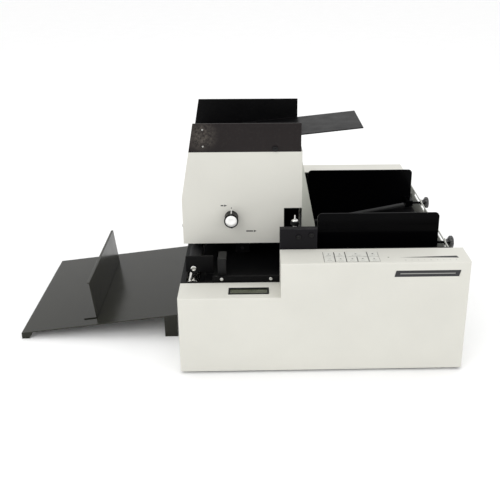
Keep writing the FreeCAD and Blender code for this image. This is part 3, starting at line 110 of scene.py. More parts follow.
class Shader:
    """A small helper round one material's node tree."""

    def __init__(self, name):
        self.material = bpy.data.materials.new(name)
        self.material.use_nodes = True
        self.tree = self.material.node_tree
        self.out = self.tree.nodes["Principled BSDF"]
        self.where = self.add("ShaderNodeTexCoord").outputs["Object"]

    def add(self, kind, **settings):
        node = self.tree.nodes.new(kind)
        for key, value in settings.items():
            setattr(node, key, value)
        return node

    def link(self, a, b):
        self.tree.links.new(a, b)

    def stretch(self, scale):
        mapping = self.add("ShaderNodeMapping")
        mapping.inputs["Scale"].default_value = scale
        self.link(self.where, mapping.inputs["Vector"])
        return mapping.outputs["Vector"]

    def noise(self, scale, detail=3.0, rough=0.5, vector=None):
        node = self.add("ShaderNodeTexNoise")
        node.inputs["Scale"].default_value = scale
        node.inputs["Detail"].default_value = detail
        node.inputs["Roughness"].default_value = rough
        self.link(vector or self.where, node.inputs["Vector"])
        return node.outputs["Fac"]

    def span(self, value, low, high, start=0.3, end=0.7):
        """Stretch a noise's start..end to low..high."""
        node = self.add("ShaderNodeMapRange")
        for key, number in (("From Min", start), ("From Max", end), ("To Min", low), ("To Max", high)):
            node.inputs[key].default_value = number
        self.link(value, node.inputs["Value"])
        return node.outputs["Result"]

    def mix(self, amount, a, b):
        node = self.add("ShaderNodeMix", data_type="RGBA")
        for key, value in ((6, a), (7, b)):
            if isinstance(value, bpy.types.NodeSocket):
                self.link(value, node.inputs[key])
            else:
                node.inputs[key].default_value = value
        self.link(amount, node.inputs[0])
        return node.outputs[2]

    def product(self, a, b):
        node = self.add("ShaderNodeMath", operation="MULTIPLY")
        for key, value in enumerate((a, b)):
            if isinstance(value, bpy.types.NodeSocket):
                self.link(value, node.inputs[key])
            else:
                node.inputs[key].default_value = value
        return node.outputs[0]

    def edges(self, radius):
        """1 on edges and corners, 0 on flats."""
        bevel = self.add("ShaderNodeBevel", samples=4)
        bevel.inputs["Radius"].default_value = radius
        flat = self.add("ShaderNodeNewGeometry").outputs["Normal"]
        dot = self.add("ShaderNodeVectorMath", operation="DOT_PRODUCT")
        self.link(bevel.outputs["Normal"], dot.inputs[0])
        self.link(flat, dot.inputs[1])
        return self.span(dot.outputs["Value"], 1.0, 0.0, start=0.80, end=0.995)

    def patch(self, centre, radius, strength):
        """A soft, uneven patch round a point."""
        away = self.add("ShaderNodeVectorMath", operation="DISTANCE")
        self.link(self.where, away.inputs[0])
        away.inputs[1].default_value = centre
        near = self.span(away.outputs["Value"], strength, 0.0, start=0.0, end=radius)
        flecks = self.span(self.noise(210.0, detail=6.0, rough=0.7), 0.0, 1.0, start=0.35, end=0.7)
        return self.product(near, flecks)

    def bump(self, heights):
        """Chain bumps: a list of (height socket, strength, distance)."""
        normal = None
        for height, strength, distance in heights:
            node = self.add("ShaderNodeBump")
            node.inputs["Strength"].default_value = strength
            node.inputs["Distance"].default_value = distance
            self.link(height, node.inputs["Height"])
            if normal is not None:
                self.link(normal, node.inputs["Normal"])
            normal = node.outputs["Normal"]
        self.link(normal, self.out.inputs["Normal"])


def finish_of(name, colour, rough, metal=0.0, spread=0.03, grain=0.0, grain_scale=1800, wave=0.0,
              wear=0.0, wear_colour=None, dust=0.0, specular=0.5, coat=0.0, coat_rough=0.1, brushed=None,
              rough_spread=0.05, rub=None):
    """One procedural finish: tone drift, gloss drift, surface grain, worn edges, dust and a rubbed patch."""
    s = Shader(name)
    drift = s.noise(9.0, detail=4.0)
    base = s.mix(s.span(drift, 0.0, 1.0), linear(scaled(colour, 1 - spread)),
                 linear(scaled(colour, 1 + spread)))
    if dust:
        specks = s.span(s.noise(240.0, detail=6.0, rough=0.7), 0.0, dust, start=0.52, end=0.75)
        base = s.mix(specks, base, linear((150, 148, 140)))
    if wear:
        chips = s.span(s.noise(130.0, detail=5.0), 0.0, wear, start=0.42, end=0.62)
        edge = s.product(s.edges(0.9 * MM), chips)
        base = s.mix(edge, base, linear(wear_colour or scaled(colour, 1.5)))
    if rub:
        base = s.mix(s.patch(*rub), base, linear((112, 106, 98)))
    s.link(base, s.out.inputs["Base Color"])
    smudge = s.noise(38.0, detail=5.0, rough=0.6)
    s.link(s.span(smudge, rough - rough_spread, rough + rough_spread), s.out.inputs["Roughness"])
    heights = []
    if brushed is not None:
        heights.append((s.noise(1.0, detail=4.0, vector=s.stretch(brushed)), 0.25, 0.05 * MM))
    if grain:
        heights.append((s.noise(grain_scale, detail=2.0), grain, 0.12 * MM))
    if wave:
        heights.append((s.noise(6.0, detail=1.0), wave, 1.2 * MM))
    if heights:
        s.bump(heights)
    s.out.inputs["Metallic"].default_value = metal
    s.out.inputs["Specular IOR Level"].default_value = specular
    if coat:
        s.out.inputs["Coat Weight"].default_value = coat
        s.out.inputs["Coat Roughness"].default_value = coat_rough
    return s.material


ALONG_Y = (700.0, 9.0, 700.0)
ALONG_X = (9.0, 700.0, 700.0)
FASCIA_LOW, FASCIA_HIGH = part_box("fascia")
RUBBED = (FASCIA_LOW.x + 24 * MM, FASCIA_LOW.y, FASCIA_HIGH.z - 22 * MM)
FINISH = {
    "cover_paint": finish_of("cover_paint", (208, 207, 199), 0.50, spread=0.012, grain=0.30, wave=0.04,
                             wear=0.30, wear_colour=(190, 189, 181), dust=0.02),
    "hood_paint": finish_of("hood_paint", (196, 198, 187), 0.50, spread=0.015, grain=0.30, wear=0.3,
                            wear_colour=(160, 160, 152)),
    "wall_paint": finish_of("wall_paint", (186, 187, 180), 0.46, spread=0.02, grain=0.25, dust=0.03),
    "black_plate": finish_of("black_plate", (7, 7, 8), 0.42, spread=0.2, grain=0.20, specular=0.10,
                             wear=0.5, wear_colour=(70, 68, 66), dust=0.012),
    "fascia_plate": finish_of("fascia_plate", (33, 29, 29), 0.42, spread=0.10, grain=0.22, specular=0.12,
                              wear=0.5, wear_colour=(90, 88, 84), dust=0.03, rub=(RUBBED, 34 * MM, 0.7)),
    "side_plate_paint": finish_of("side_plate_paint", (20, 19, 22), 0.55, spread=0.08, grain=0.35,
                                  specular=0.12, wear=0.6, wear_colour=(105, 105, 108)),
    "tray_paint": finish_of("tray_paint", (27, 27, 19), 0.22, spread=0.08, wave=0.02,
                            specular=0.30, wear=0.5, wear_colour=(110, 110, 100)),
    "zinc_steel": finish_of("zinc_steel", (168, 168, 162), 0.36, metal=1.0, spread=0.08, brushed=ALONG_X),
    "roller_steel": finish_of("roller_steel", (214, 212, 206), 0.22, metal=1.0, spread=0.05,
                              brushed=(900.0, 9.0, 900.0)),
    "screw_steel": finish_of("screw_steel", (188, 188, 184), 0.28, metal=1.0, spread=0.06, grain=0.1),
    "motor_can": finish_of("motor_can", (128, 128, 132), 0.34, metal=1.0, spread=0.06, brushed=ALONG_Y),
    "rubber": finish_of("rubber", (26, 26, 27), 0.80, spread=0.10, grain=0.55, grain_scale=900, specular=0.25,
                        dust=0.10),
    "belt_rubber": finish_of("belt_rubber", (22, 22, 22), 0.72, spread=0.10, grain=0.5, specular=0.25),
    "black_plastic": finish_of("black_plastic", (13, 13, 14), 0.42, spread=0.10, grain=0.28, specular=0.25,
                               wear=0.4, wear_colour=(60, 60, 60)),
    "grey_plastic": finish_of("grey_plastic", (22, 22, 22), 0.48, spread=0.08, grain=0.25, specular=0.2),
    "knob_plastic": finish_of("knob_plastic", (4, 4, 5), 0.34, spread=0.12, grain=0.16, specular=0.14),
    "guide_gloss": finish_of("guide_gloss", (3, 3, 4), 0.16, spread=0.2, wave=0.05, specular=0.04,
                             coat=0.015, coat_rough=0.05, rough_spread=0.04),
    "keypad_lines": finish_of("keypad_lines", (74, 74, 70), 0.55, spread=0.05, grain=0.2),
    "key_plastic": finish_of("key_plastic", (209, 209, 202), 0.44, spread=0.012, grain=0.20),
    "badge": finish_of("badge", (30, 30, 33), 0.36, spread=0.08, grain=0.12),
    "circuit_board": finish_of("circuit_board", (20, 84, 42), 0.40, spread=0.12, grain=0.1),
    "print_ink": finish_of("print_ink", (38, 38, 38), 0.55, spread=0.08, grain=0.15),
    "print_grey": finish_of("print_grey", (150, 150, 146), 0.55, spread=0.04, grain=0.15),
    "white_mark": finish_of("white_mark", (240, 240, 238), 0.45, spread=0.02, grain=0.1),
    "spun_disc": finish_of("spun_disc", (244, 244, 242), 0.30, metal=0.35, spread=0.02,
                           brushed=(1400.0, 1400.0, 60.0)),
    "bright_metal": finish_of("bright_metal", (222, 222, 218), 0.16, metal=1.0, spread=0.03, grain=0.05),
    "gloss_black": finish_of("gloss_black", (7, 7, 8), 0.17, spread=0.15, grain=0.05, specular=0.6, coat=0.5),
    "pale_plastic": finish_of("pale_plastic", (205, 205, 200), 0.25, spread=0.03, grain=0.08, coat=0.4),
}


def display_glass():
    """Grey-green panel with two faint rows of character cells under its glass."""
    s = Shader("display")
    low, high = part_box("lcd_display")
    cells = s.add("ShaderNodeTexBrick", offset=0.0, squash=1.0)
    cells.inputs["Scale"].default_value = 1.0
    cells.inputs["Mortar Size"].default_value = 0.35 * MM
    cells.inputs["Mortar Smooth"].default_value = 0.2
    cells.inputs["Brick Width"].default_value = (high.x - low.x) / 18
    cells.inputs["Row Height"].default_value = (high.y - low.y) / 3
    cells.inputs["Color1"].default_value = linear((58, 62, 44))
    cells.inputs["Color2"].default_value = linear((62, 66, 48))
    cells.inputs["Mortar"].default_value = linear((78, 84, 62))
    s.link(s.where, cells.inputs["Vector"])
    tone = s.mix(s.span(s.noise(25.0), 0.0, 0.35), cells.outputs["Color"], linear((44, 49, 35)))
    s.link(tone, s.out.inputs["Base Color"])
    s.link(s.span(s.noise(60.0), 0.10, 0.20), s.out.inputs["Roughness"])
    s.out.inputs["Coat Weight"].default_value = 0.5
    s.out.inputs["Coat Roughness"].default_value = 0.04
    return s.material


def lamp_lens():
    """Clear greenish lens over a dark lamp."""
    s = Shader("lamp")
    s.link(s.mix(s.span(s.noise(700.0), 0.0, 1.0), linear((118, 128, 108)), linear((150, 158, 138))),
           s.out.inputs["Base Color"])
    s.link(s.span(s.noise(90.0), 0.08, 0.16), s.out.inputs["Roughness"])
    s.out.inputs["Coat Weight"].default_value = 0.6
    return s.material


FINISH["display"] = display_glass()
FINISH["lamp"] = lamp_lens()


# ---------------------------------------------------------------- mesh helpers

def finish_piece(piece, body, slot, node_names=(), materials=None):
    """Give a piece its materials (its slot's finish unless others are listed) and its body, and hide the CAD
    nodes that it stands for.
    """
    if piece.type == "MESH":
        piece.data.materials.clear()
        for name in materials or [slot]:
            piece.data.materials.append(FINISH[name])
    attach(piece, body)
    if node_names:
        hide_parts(*node_names)
    return piece


def object_from(name, mesh):
    piece = bpy.data.objects.new(name, mesh)
    bpy.context.scene.collection.objects.link(piece)
    return piece


def object_of(name, work):
    """A smooth-shaded object from a bmesh."""
    bmesh.ops.recalc_face_normals(work, faces=work.faces)
    mesh = bpy.data.meshes.new(name)
    for face in work.faces:
        face.smooth = True
    work.to_mesh(mesh)
    work.free()
    return object_from(name, mesh)


def bevelled(piece, width, angle=35, segments=3):
    """Round every sharp edge of a piece."""
    edge = piece.modifiers.new("edges", "BEVEL")
    edge.width = width
    edge.segments = segments
    edge.limit_method = "ANGLE"
    edge.angle_limit = math.radians(angle)
    flats = piece.modifiers.new("flats", "WEIGHTED_NORMAL")
    flats.keep_sharp = True
    return piece


def softened(node, width, materials=None, pick=None, angle=35, segments=3):
    """A CAD node's shape with its edges rounded, as formed sheet and moulded plastic have them."""
    work = bmesh.new()
    work.from_mesh(frame["nodes"][node].data)
    bmesh.ops.remove_doubles(work, verts=work.verts, dist=0.002 * MM)
    bmesh.ops.dissolve_limit(work, angle_limit=math.radians(0.4), verts=work.verts, edges=work.edges)
    for face in work.faces:
        face.material_index = pick(face.calc_center_median(), face.normal) if pick else 0
    piece = object_of(node + "_shell", work)
    bevelled(piece, width, angle, segments)
    return finish_piece(piece, BODY_OF[node], SLOT_OF[node], [node], materials)


AXES = {"x": Matrix.Rotation(math.pi / 2, 4, "Y"), "y": Matrix.Rotation(-math.pi / 2, 4, "X"),
        "z": Matrix.Identity(4)}


def cross(angle, length, half):
    """Radius of a plus-shaped recess at an angle."""
    quarter = math.pi / 2
    near = abs((angle + quarter / 2) % quarter - quarter / 2)
    reach = length / math.cos(near)
    side = half / math.sin(near) if near > 1e-6 else reach
    return min(reach, side)


def lathe(name, profile, centre, along="z", steps=64, shapes=None):
    """Turn (radius, height) pairs about an axis. shapes maps a pair's index to a function of the
    radius and the angle, for lobes, flats and recesses."""
    shapes = shapes or {}
    work = bmesh.new()
    rings = []
    for index, (radius, height) in enumerate(profile):
        ring = []
        for step in range(steps):
            angle = 2 * math.pi * step / steps
            r = shapes[index](radius, angle) if index in shapes else radius
            ring.append(work.verts.new((r * math.cos(angle), r * math.sin(angle), height)))
        rings.append(ring)
    for low, high in zip(rings, rings[1:]):
        for step in range(steps):
            after = (step + 1) % steps
            work.faces.new((low[step], low[after], high[after], high[step]))
    work.faces.new(rings[0][::-1])
    work.faces.new(rings[-1])
    work.transform(Matrix.Translation(centre) @ AXES[along])
    return object_of(name, work)


def plate(name, points, depth, place):
    """A thin flat shape: (x, y) points extruded by depth along its own +z, then placed."""
    work = bmesh.new()
    base = [work.verts.new((x, y, 0)) for x, y in points]
    face = work.faces.new(base)
    grown = bmesh.ops.extrude_face_region(work, geom=[face])
    bmesh.ops.translate(work, vec=(0, 0, depth),
                        verts=[v for v in grown["geom"] if isinstance(v, bmesh.types.BMVert)])
    work.transform(place)
    piece = object_of(name, work)
    for polygon in piece.data.polygons:
        polygon.use_smooth = False
    return piece


def merged(name, pieces):
    """Join several pieces into one object."""
    work = bmesh.new()
    for piece in pieces:
        flat = [polygon.use_smooth for polygon in piece.data.polygons]
        first = len(work.faces)
        work.from_mesh(piece.data)
        work.faces.ensure_lookup_table()
        for offset, smooth in enumerate(flat):
            work.faces[first + offset].smooth = smooth
        bpy.data.objects.remove(piece)
    mesh = bpy.data.meshes.new(name)
    work.to_mesh(mesh)
    work.free()
    return object_from(name, mesh)


def rounded(width, height, radius, corner=6):
    """Points of a rectangle with round corners, centred on the origin."""
    points = []
    for turn, (sx, sy) in enumerate(((1, 1), (-1, 1), (-1, -1), (1, -1))):
        for step in range(corner + 1):
            angle = math.pi / 2 * (turn + step / corner)
            points.append((sx * (width / 2 - radius) + radius * math.cos(angle),
                           sy * (height / 2 - radius) + radius * math.sin(angle)))
    return points


def islands(node):
    """(lowest, highest) corner of each separate solid of a CAD node."""
    work = bmesh.new()
    work.from_mesh(frame["nodes"][node].data)
    bmesh.ops.remove_doubles(work, verts=work.verts, dist=0.002 * MM)
    left = set(work.verts)
    boxes = []
    while left:
        stack = [left.pop()]
        group = list(stack)
        while stack:
            for edge in stack.pop().link_edges:
                for vert in edge.verts:
                    if vert in left:
                        left.remove(vert)
                        stack.append(vert)
                        group.append(vert)
        boxes.append((Vector(min(v.co[i] for v in group) for i in range(3)),
                      Vector(max(v.co[i] for v in group) for i in range(3))))
    work.free()
    return sorted(boxes, key=lambda pair: tuple(round(c, 5) for c in pair[0]))


def facing(point, direction):
    """A placement whose +z looks along a direction, with its +y as near to up as it can be."""
    z = Vector(direction).normalized()
    up = Vector((0, 0, 1)) if abs(z.z) < 0.9 else Vector((0, 1, 0))
    x = up.cross(z).normalized()
    y = z.cross(x)
    return Matrix.Translation(point) @ Matrix((x, y, z)).transposed().to_4x4()


# ---------------------------------------------------------------- covers and sheet metal

def sheet_metal():
    """Bent sheet covers and plates, with soft folded edges."""
    for node in ("front_cover", "rear_cover", "right_side_wall"):
        softened(node, COVER_EDGE)
    for node in ("head_cover", "feed_hood"):
        softened(node, COVER_EDGE, angle=8)
    for node in ("fascia", "label_tray", "notch_lining", "feed_side_plate", "front_rail", "hopper_bed",
                 "transport_deck", "tray_stop", "drop_tray", "peel_bar"):
        softened(node, PLATE_EDGE)
    for node in ("front_guide", "rear_guide"):
        softened(node, GUIDE_EDGE, ["guide_gloss", "bright_metal"], stud_or_plate(node))


def stud_or_plate(node):
    """Pick the bright stud's faces beyond the guide's plate and block."""
    _low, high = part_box(node)
    stud_from = high.x - STUD_LENGTH

    def pick(centre, _normal):
        return 1 if centre.x > stud_from else 0
    return pick


# ---------------------------------------------------------------- fasteners and feet

def screw_head(name, low, high):
    """A pan head with a cross recess, standing where the CAD screw stands."""
    size = high - low
    axis = min(range(3), key=lambda i: size[i])
    radius = sorted(size)[1] / 2
    tall = size[axis]
    centre = (low + high) / 2
    outward = Vector((0, 0, 0))
    outward[axis] = 1 if centre[axis] > middle_of_object()[axis] else -1
    profile = [(radius * 0.96, 0), (radius, tall * 0.18), (radius * 0.97, tall * 0.45),
               (radius * 0.84, tall * 0.78), (radius * 0.66, tall * 0.95), (radius * 0.60, tall),
               (radius * 0.55, tall), (radius * 0.34, tall * 0.35)]
    shapes = {6: lambda r, a: cross(a, r, r * 0.24), 7: lambda r, a: cross(a, r, r * 0.22)}
    piece = lathe(name, profile, (0, 0, 0), steps=48, shapes=shapes)
    foot = Vector(centre)
    foot[axis] = low[axis] if outward[axis] > 0 else high[axis]
    piece.data.transform(facing(foot, outward) @ Matrix.Rotation(math.radians(25), 4, "Z"))
    return piece


def middle_of_object():
    return (Vector(CAD_BOX[0]) + Vector(CAD_BOX[1])) / 2


def fasteners():
    """Pan heads where the CAD screws stand, and a dark knurled thumb screw for the largest."""
    boxes = islands("screws")
    widest = max(sorted(high - low)[1] for low, high in boxes)
    heads = []
    for index, (low, high) in enumerate(boxes):
        if sorted(high - low)[1] < widest:
            heads.append(screw_head(f"screw_{index}", low, high))
    finish_piece(merged("screw_heads", heads), "root", "screw_steel", ["screws"])
    low, high = next(pair for pair in boxes if sorted(pair[1] - pair[0])[1] == widest)
    thumb_screw(low, high)


def thumb_screw(low, high):
    """Dark knurled thumb screw on the fascia, its head towards the front."""
    radius, long = (high.x - low.x) / 2, high.y - low.y
    profile = [(radius * 0.96, 0), (radius, 0.3 * MM), (radius, long * 0.80), (radius * 0.94, long * 0.90),
               (radius * 0.88, long * 0.92), (radius * 0.80, long), (radius * 0.30, long),
               (radius * 0.24, long * 0.8)]
    knurl = lobes(30, 0.08)
    piece = lathe("thumb_screw", profile, (0, 0, 0), steps=120, shapes={1: knurl, 2: knurl})
    foot = Vector(((low.x + high.x) / 2, high.y, (low.z + high.z) / 2))
    piece.data.transform(Matrix.Translation(foot) @ Matrix.Rotation(math.pi / 2, 4, "X"))
    finish_piece(piece, "root", "screw_steel", materials=["black_plastic"])


def feet():
    """Rubber feet with a rounded rim and a hollow for their screw."""
    pieces = []
    for index, (low, high) in enumerate(islands("rubber_feet")):
        radius, tall = (high.x - low.x) / 2, high.z - low.z
        profile = [(radius * 0.30, 0.9 * MM), (radius * 0.34, 0), (radius * 0.80, 0),
                   (radius * 0.90, 0.3 * MM), (radius * 0.95, 1.2 * MM), (radius, tall * 0.8), (radius, tall)]
        pieces.append(lathe(f"foot_{index}", profile, ((low.x + high.x) / 2, (low.y + high.y) / 2, low.z)))
    finish_piece(merged("moulded_feet", pieces), "root", "rubber", ["rubber_feet"])


# ---------------------------------------------------------------- knobs

def lobes(count, depth):
    return lambda radius, angle: radius * (1 + depth * (math.cos(count * angle) - 1) / 2)


def selector():
    """Selector: fluted skirt, spun disc on its end, white index line on its top."""
    low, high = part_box("selector_knob")
    radius, long = (high.x - low.x) / 2, high.y - low.y
    centre = Vector(((low.x + high.x) / 2, high.y, (low.z + high.z) / 2))
    away = Matrix.Rotation(math.pi / 2, 4, "X")
    flute = lobes(28, 0.045)
    skirt = [(radius * 0.99, 0), (radius, 0.5 * MM), (radius, long * 0.16), (radius * 0.97, long * 0.20),
             (radius * 0.93, long * 0.24), (radius * 0.93, long * 0.30), (radius * 0.92, long * 0.86),
             (radius * 0.95, long * 0.90), (radius * 0.97, long * 0.93), (radius * 0.965, long * 0.985),
             (radius * 0.93, long), (radius * 0.83, long), (radius * 0.82, long * 0.97)]
    shapes = {index: flute for index in (5, 6)}
    body = lathe("selector_grip", skirt, (0, 0, 0), steps=168, shapes=shapes)
    body.data.transform(Matrix.Translation(centre) @ away)
    finish_piece(body, "selector_knob", "knob_plastic", ["selector_knob"])
    face = [(radius * 0.81, long * 0.90), (radius * 0.81, long * 0.972), (radius * 0.79, long * 0.985),
            (radius * 0.30, long * 0.992), (radius * 0.26, long * 0.985), (radius * 0.05, long * 0.985)]
    disc = lathe("selector_disc", face, (0, 0, 0), steps=96)
    disc.data.transform(Matrix.Translation(centre) @ away)
    finish_piece(disc, "selector_knob", "knob_plastic", materials=["spun_disc"])
    top = centre + Vector((0, -long * 0.02, radius * 0.985))
    line = plate("selector_index", rounded(1.5 * MM, long * 0.80, 0.5 * MM), 0.35 * MM,
                 Matrix.Translation(top + Vector((0, -long * 0.42, -0.2 * MM))))
    finish_piece(line, "selector_knob", "knob_plastic", materials=["white_mark"])


def panel_marks():
    """Plain printed marks round the selector: a tick, a pointer bar and two position signs."""
    low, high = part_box("selector_knob")
    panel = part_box("head_cover")[0].y
    centre = Vector(((low.x + high.x) / 2, panel, (low.z + high.z) / 2))

    def mark(name, points, dx, dz):
        spot = facing(centre + Vector((dx, 0.02 * MM, dz)), (0, -1, 0))
        return plate(name, points, 0.10 * MM, spot)

    triangle = [(-2.6 * MM, -2.2 * MM), (2.6 * MM, 0), (-2.6 * MM, 2.2 * MM)]
    marks = [
        mark("tick", rounded(1.2 * MM, 3.6 * MM, 0.4 * MM), 0, 17.5 * MM),
        mark("pointer", rounded(2.4 * MM, 8.0 * MM, 0.8 * MM), 0, -19.5 * MM),
        mark("run_sign", triangle, -10.5 * MM, 22.5 * MM),
        mark("run_bar", rounded(5.0 * MM, 2.2 * MM, 0.5 * MM), -17.0 * MM, 22.5 * MM),
        mark("load_bar", rounded(13.0 * MM, 2.4 * MM, 0.5 * MM), 33.5 * MM, -29.0 * MM),
        mark("load_sign", triangle, 44.0 * MM, -29.0 * MM),
    ]
    finish_piece(merged("selector_marks", marks), "root", "cover_paint", materials=["print_ink"])


def separator():
    """Separator knob: threaded rod, flared foot, fluted body, bright dome and a thin pin on top."""
    low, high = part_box("separator_knob")
    radius = (high.x - low.x) / 2
    centre = Vector(((low.x + high.x) / 2, (low.y + high.y) / 2, 0))
    knob_low, rod = high.z - SEPARATOR_TALL, THREAD_RADIUS
    turns = int((knob_low - low.z) / THREAD_PITCH)
    thread = [(rod * 0.8, low.z)]
    for step in range(turns * 2):
        crest = step % 2 == 0
        thread.append((rod if crest else rod * 0.86, low.z + (step + 1) * THREAD_PITCH / 2))
    thread.append((rod * 0.86, knob_low))
    screw = lathe("separator_screw", thread, centre, steps=28)
    finish_piece(screw, "separator_knob", "black_plastic", materials=["bright_metal"])
    flare = [(rod * 1.05, knob_low + 9.4 * MM), (radius * 0.42, knob_low + 9.4 * MM),
             (radius * 0.46, knob_low + 6.0 * MM), (radius * 0.62, knob_low + 2.4 * MM),
             (radius * 0.92, knob_low + 0.6 * MM), (radius, knob_low), (rod, knob_low)]
    foot = lathe("separator_foot", flare, centre, steps=64)
    finish_piece(foot, "separator_knob", "black_plastic", materials=["pale_plastic"])
    grip = [(rod, knob_low + 9.6 * MM), (radius * 0.86, knob_low + 9.6 * MM),
            (radius * 0.96, knob_low + 10.4 * MM), (radius, knob_low + 11.5 * MM),
            (radius, knob_low + 15.5 * MM), (radius * 0.96, knob_low + 16.6 * MM),
            (radius * 0.86, knob_low + 17.4 * MM), (rod, knob_low + 17.4 * MM)]
    ring = lathe("separator_grip", grip, centre, steps=120, shapes={3: lobes(20, 0.10), 4: lobes(20, 0.10)})
    finish_piece(ring, "separator_knob", "black_plastic", ["separator_knob"])
    dome = [(radius * 0.80, knob_low + 17.0 * MM)]
    for step in range(1, 8):
        angle = math.pi / 2 * step / 8
        dome.append((radius * 0.80 * math.cos(angle), knob_low + (17.4 + 4.6 * math.sin(angle)) * MM))
    dome += [(1.15 * MM, knob_low + 22.0 * MM), (1.15 * MM, high.z - 0.5 * MM), (0.8 * MM, high.z)]
    cap = lathe("separator_dome", dome, centre, steps=64)
    finish_piece(cap, "separator_knob", "black_plastic", materials=["bright_metal"])


def clamp_knobs():
    """Lobed clamp knobs on the side guides' studs."""
    for node in ("front_guide_knob", "rear_guide_knob"):
        low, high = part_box(node)
        radius, long = (high.z - low.z) / 2, high.x - low.x
        centre = (low.x, (low.y + high.y) / 2, (low.z + high.z) / 2)
        profile = [(radius * 0.46, 0), (radius * 0.50, 0.4 * MM), (radius * 0.50, long * 0.26),
                   (radius * 0.56, long * 0.36), (radius * 0.80, long * 0.48), (radius * 0.96, long * 0.56),
                   (radius, long * 0.64), (radius, long * 0.88), (radius * 0.95, long * 0.95),
                   (radius * 0.84, long * 0.99), (radius * 0.55, long), (radius * 0.50, long * 0.97),
                   (radius * 0.10, long * 0.96)]
        lobe = lobes(9, 0.13)
        piece = lathe(node + "_lobed", profile, centre, along="x", steps=144,
                      shapes={index: lobe for index in (5, 6, 7, 8)})
        finish_piece(piece, node, "black_plastic", [node], ["gloss_black"])
        cap = [(radius * 0.44, long * 0.93), (radius * 0.44, long * 0.975), (radius * 0.40, long * 0.99),
               (radius * 0.08, long * 0.985)]
        insert = lathe(node + "_insert", cap, centre, along="x", steps=64)
        finish_piece(insert, node, "black_plastic", materials=["bright_metal"])
        ring = [(radius * 0.51, long * 0.03), (radius * 0.60, long * 0.05), (radius * 0.60, long * 0.11),
                (radius * 0.51, long * 0.13)]
        washer = lathe(node + "_washer", ring, centre, along="x", steps=64)
        finish_piece(washer, node, "black_plastic", materials=["bright_metal"])


def driver_slot(radius, angle):
    """Radius of a straight slot at an angle."""
    return min(radius, radius * 0.22 / max(abs(math.sin(angle)), 1e-6))


def adjusters():
    """Slotted adjusters of the feed side plate."""
    for node in ("left_adjuster", "right_adjuster"):
        low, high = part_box(node)
        radius = (high.x - low.x) / 2
        centre = Vector(((low.x + high.x) / 2, low.y + 4 * MM, (low.z + high.z) / 2))
        away = Matrix.Translation(centre) @ Matrix.Rotation(math.pi / 2, 4, "X")
        profile = [(radius * 0.5, -(high.y - centre.y)), (radius * 0.5, 0), (radius, 0), (radius, 2.6 * MM),
                   (radius * 0.92, 3.4 * MM), (radius * 0.62, 4.0 * MM), (radius * 0.56, 3.9 * MM),
                   (radius * 0.50, 2.4 * MM)]
        piece = lathe(node + "_head", profile, (0, 0, 0), steps=72,
                      shapes={3: lobes(24, 0.05), 6: driver_slot, 7: driver_slot})
        piece.data.transform(away)
        finish_piece(piece, node, "black_plastic", [node], ["grey_plastic"])


# ---------------------------------------------------------------- controls on the ledges

def icon(kind):
    """Outlines, in millimetres, of a plain sign for a key."""
    bar = rounded(4.2, 0.7, 0.25)
    post = rounded(0.7, 4.2, 0.25)
    arrow = [(-1.9, -1.4), (1.9, 0), (-1.9, 1.4)]
    back = [(1.9, -1.4), (-1.9, 0), (1.9, 1.4)]
    up = [(-1.6, -1.2), (1.6, -1.2), (0, 1.6)]
    down = [(-1.6, 1.2), (0, -1.6), (1.6, 1.2)]
    dot = [(1.2 * math.cos(a * math.pi / 8), 1.2 * math.sin(a * math.pi / 8)) for a in range(16)]
    return {"minus": [bar], "plus": [bar, post], "arrow": [arrow], "back": [back], "up": [up],
            "down": [down], "dot": [dot], "stop": [rounded(2.8, 2.8, 0.3)]}[kind]


SIGNS = {"key_1": "minus", "key_2": "plus", "key_3": "back", "key_4": "arrow", "key_5": "dot",
         "key_6": "down", "key_7": "up", "key_8": "arrow", "key_9": "stop"}


def keypad():
    """Keys and their frame with soft edges, and a plain sign and a rule on each key."""
    softened("keypad_frame", 0.12 * MM, segments=2)
    for node, kind in SIGNS.items():
        softened(node, 0.35 * MM)
        low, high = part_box(node)
        centre = Vector(((low.x + high.x) / 2, (low.y + high.y) / 2, high.z - ON_SURFACE))
        signs = []
        for index, shape in enumerate(icon(kind)):
            lift = Matrix.Translation(centre + Vector((0, 0.5 * MM, index * 0.01 * MM)))
            signs.append(plate(f"{node}_sign_{index}", [(x * MM, y * MM) for x, y in shape], 0.06 * MM, lift))
        under = Matrix.Translation(centre + Vector((0, -5.2 * MM, 0)))
        line = rounded((high.x - low.x) * 0.45, 0.5 * MM, 0.2 * MM)
        signs.append(plate(f"{node}_rule", line, 0.05 * MM, under))
        finish_piece(merged(node + "_signs", signs), node, "key_plastic", materials=["print_ink"])


def speed_scale():
    """Printed wedge that grows to the right, with a rule of ticks under it."""
    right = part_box("name_plate")[1].x
    low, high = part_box("status_lamp")
    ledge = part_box("front_cover")[1].z
    start, end = high.x + 18 * MM, right - 1 * MM
    y = (low.y + high.y) / 2
    lift = Matrix.Translation((0, 0, ledge - ON_SURFACE))
    wedge = [(start, y - 1.0 * MM), (end, y - 4.6 * MM), (end - 1.5 * MM, y + 3.4 * MM)]
    finish_piece(plate("speed_wedge", wedge, 0.07 * MM, lift), "root", "cover_paint",
                 materials=["print_ink"])
    ticks = []
    for index in range(9):
        x = start + 8 * MM + index * (end - start - 14 * MM) / 8
        long = 4.0 * MM if index % 4 == 0 else 2.4 * MM
        points = [(x + px, y - 12 * MM + py) for px, py in rounded(0.7 * MM, long, 0.2 * MM)]
        ticks.append(plate(f"tick_{index}", points, 0.05 * MM, lift))
    finish_piece(merged("speed_ticks", ticks), "root", "cover_paint", materials=["print_grey"])


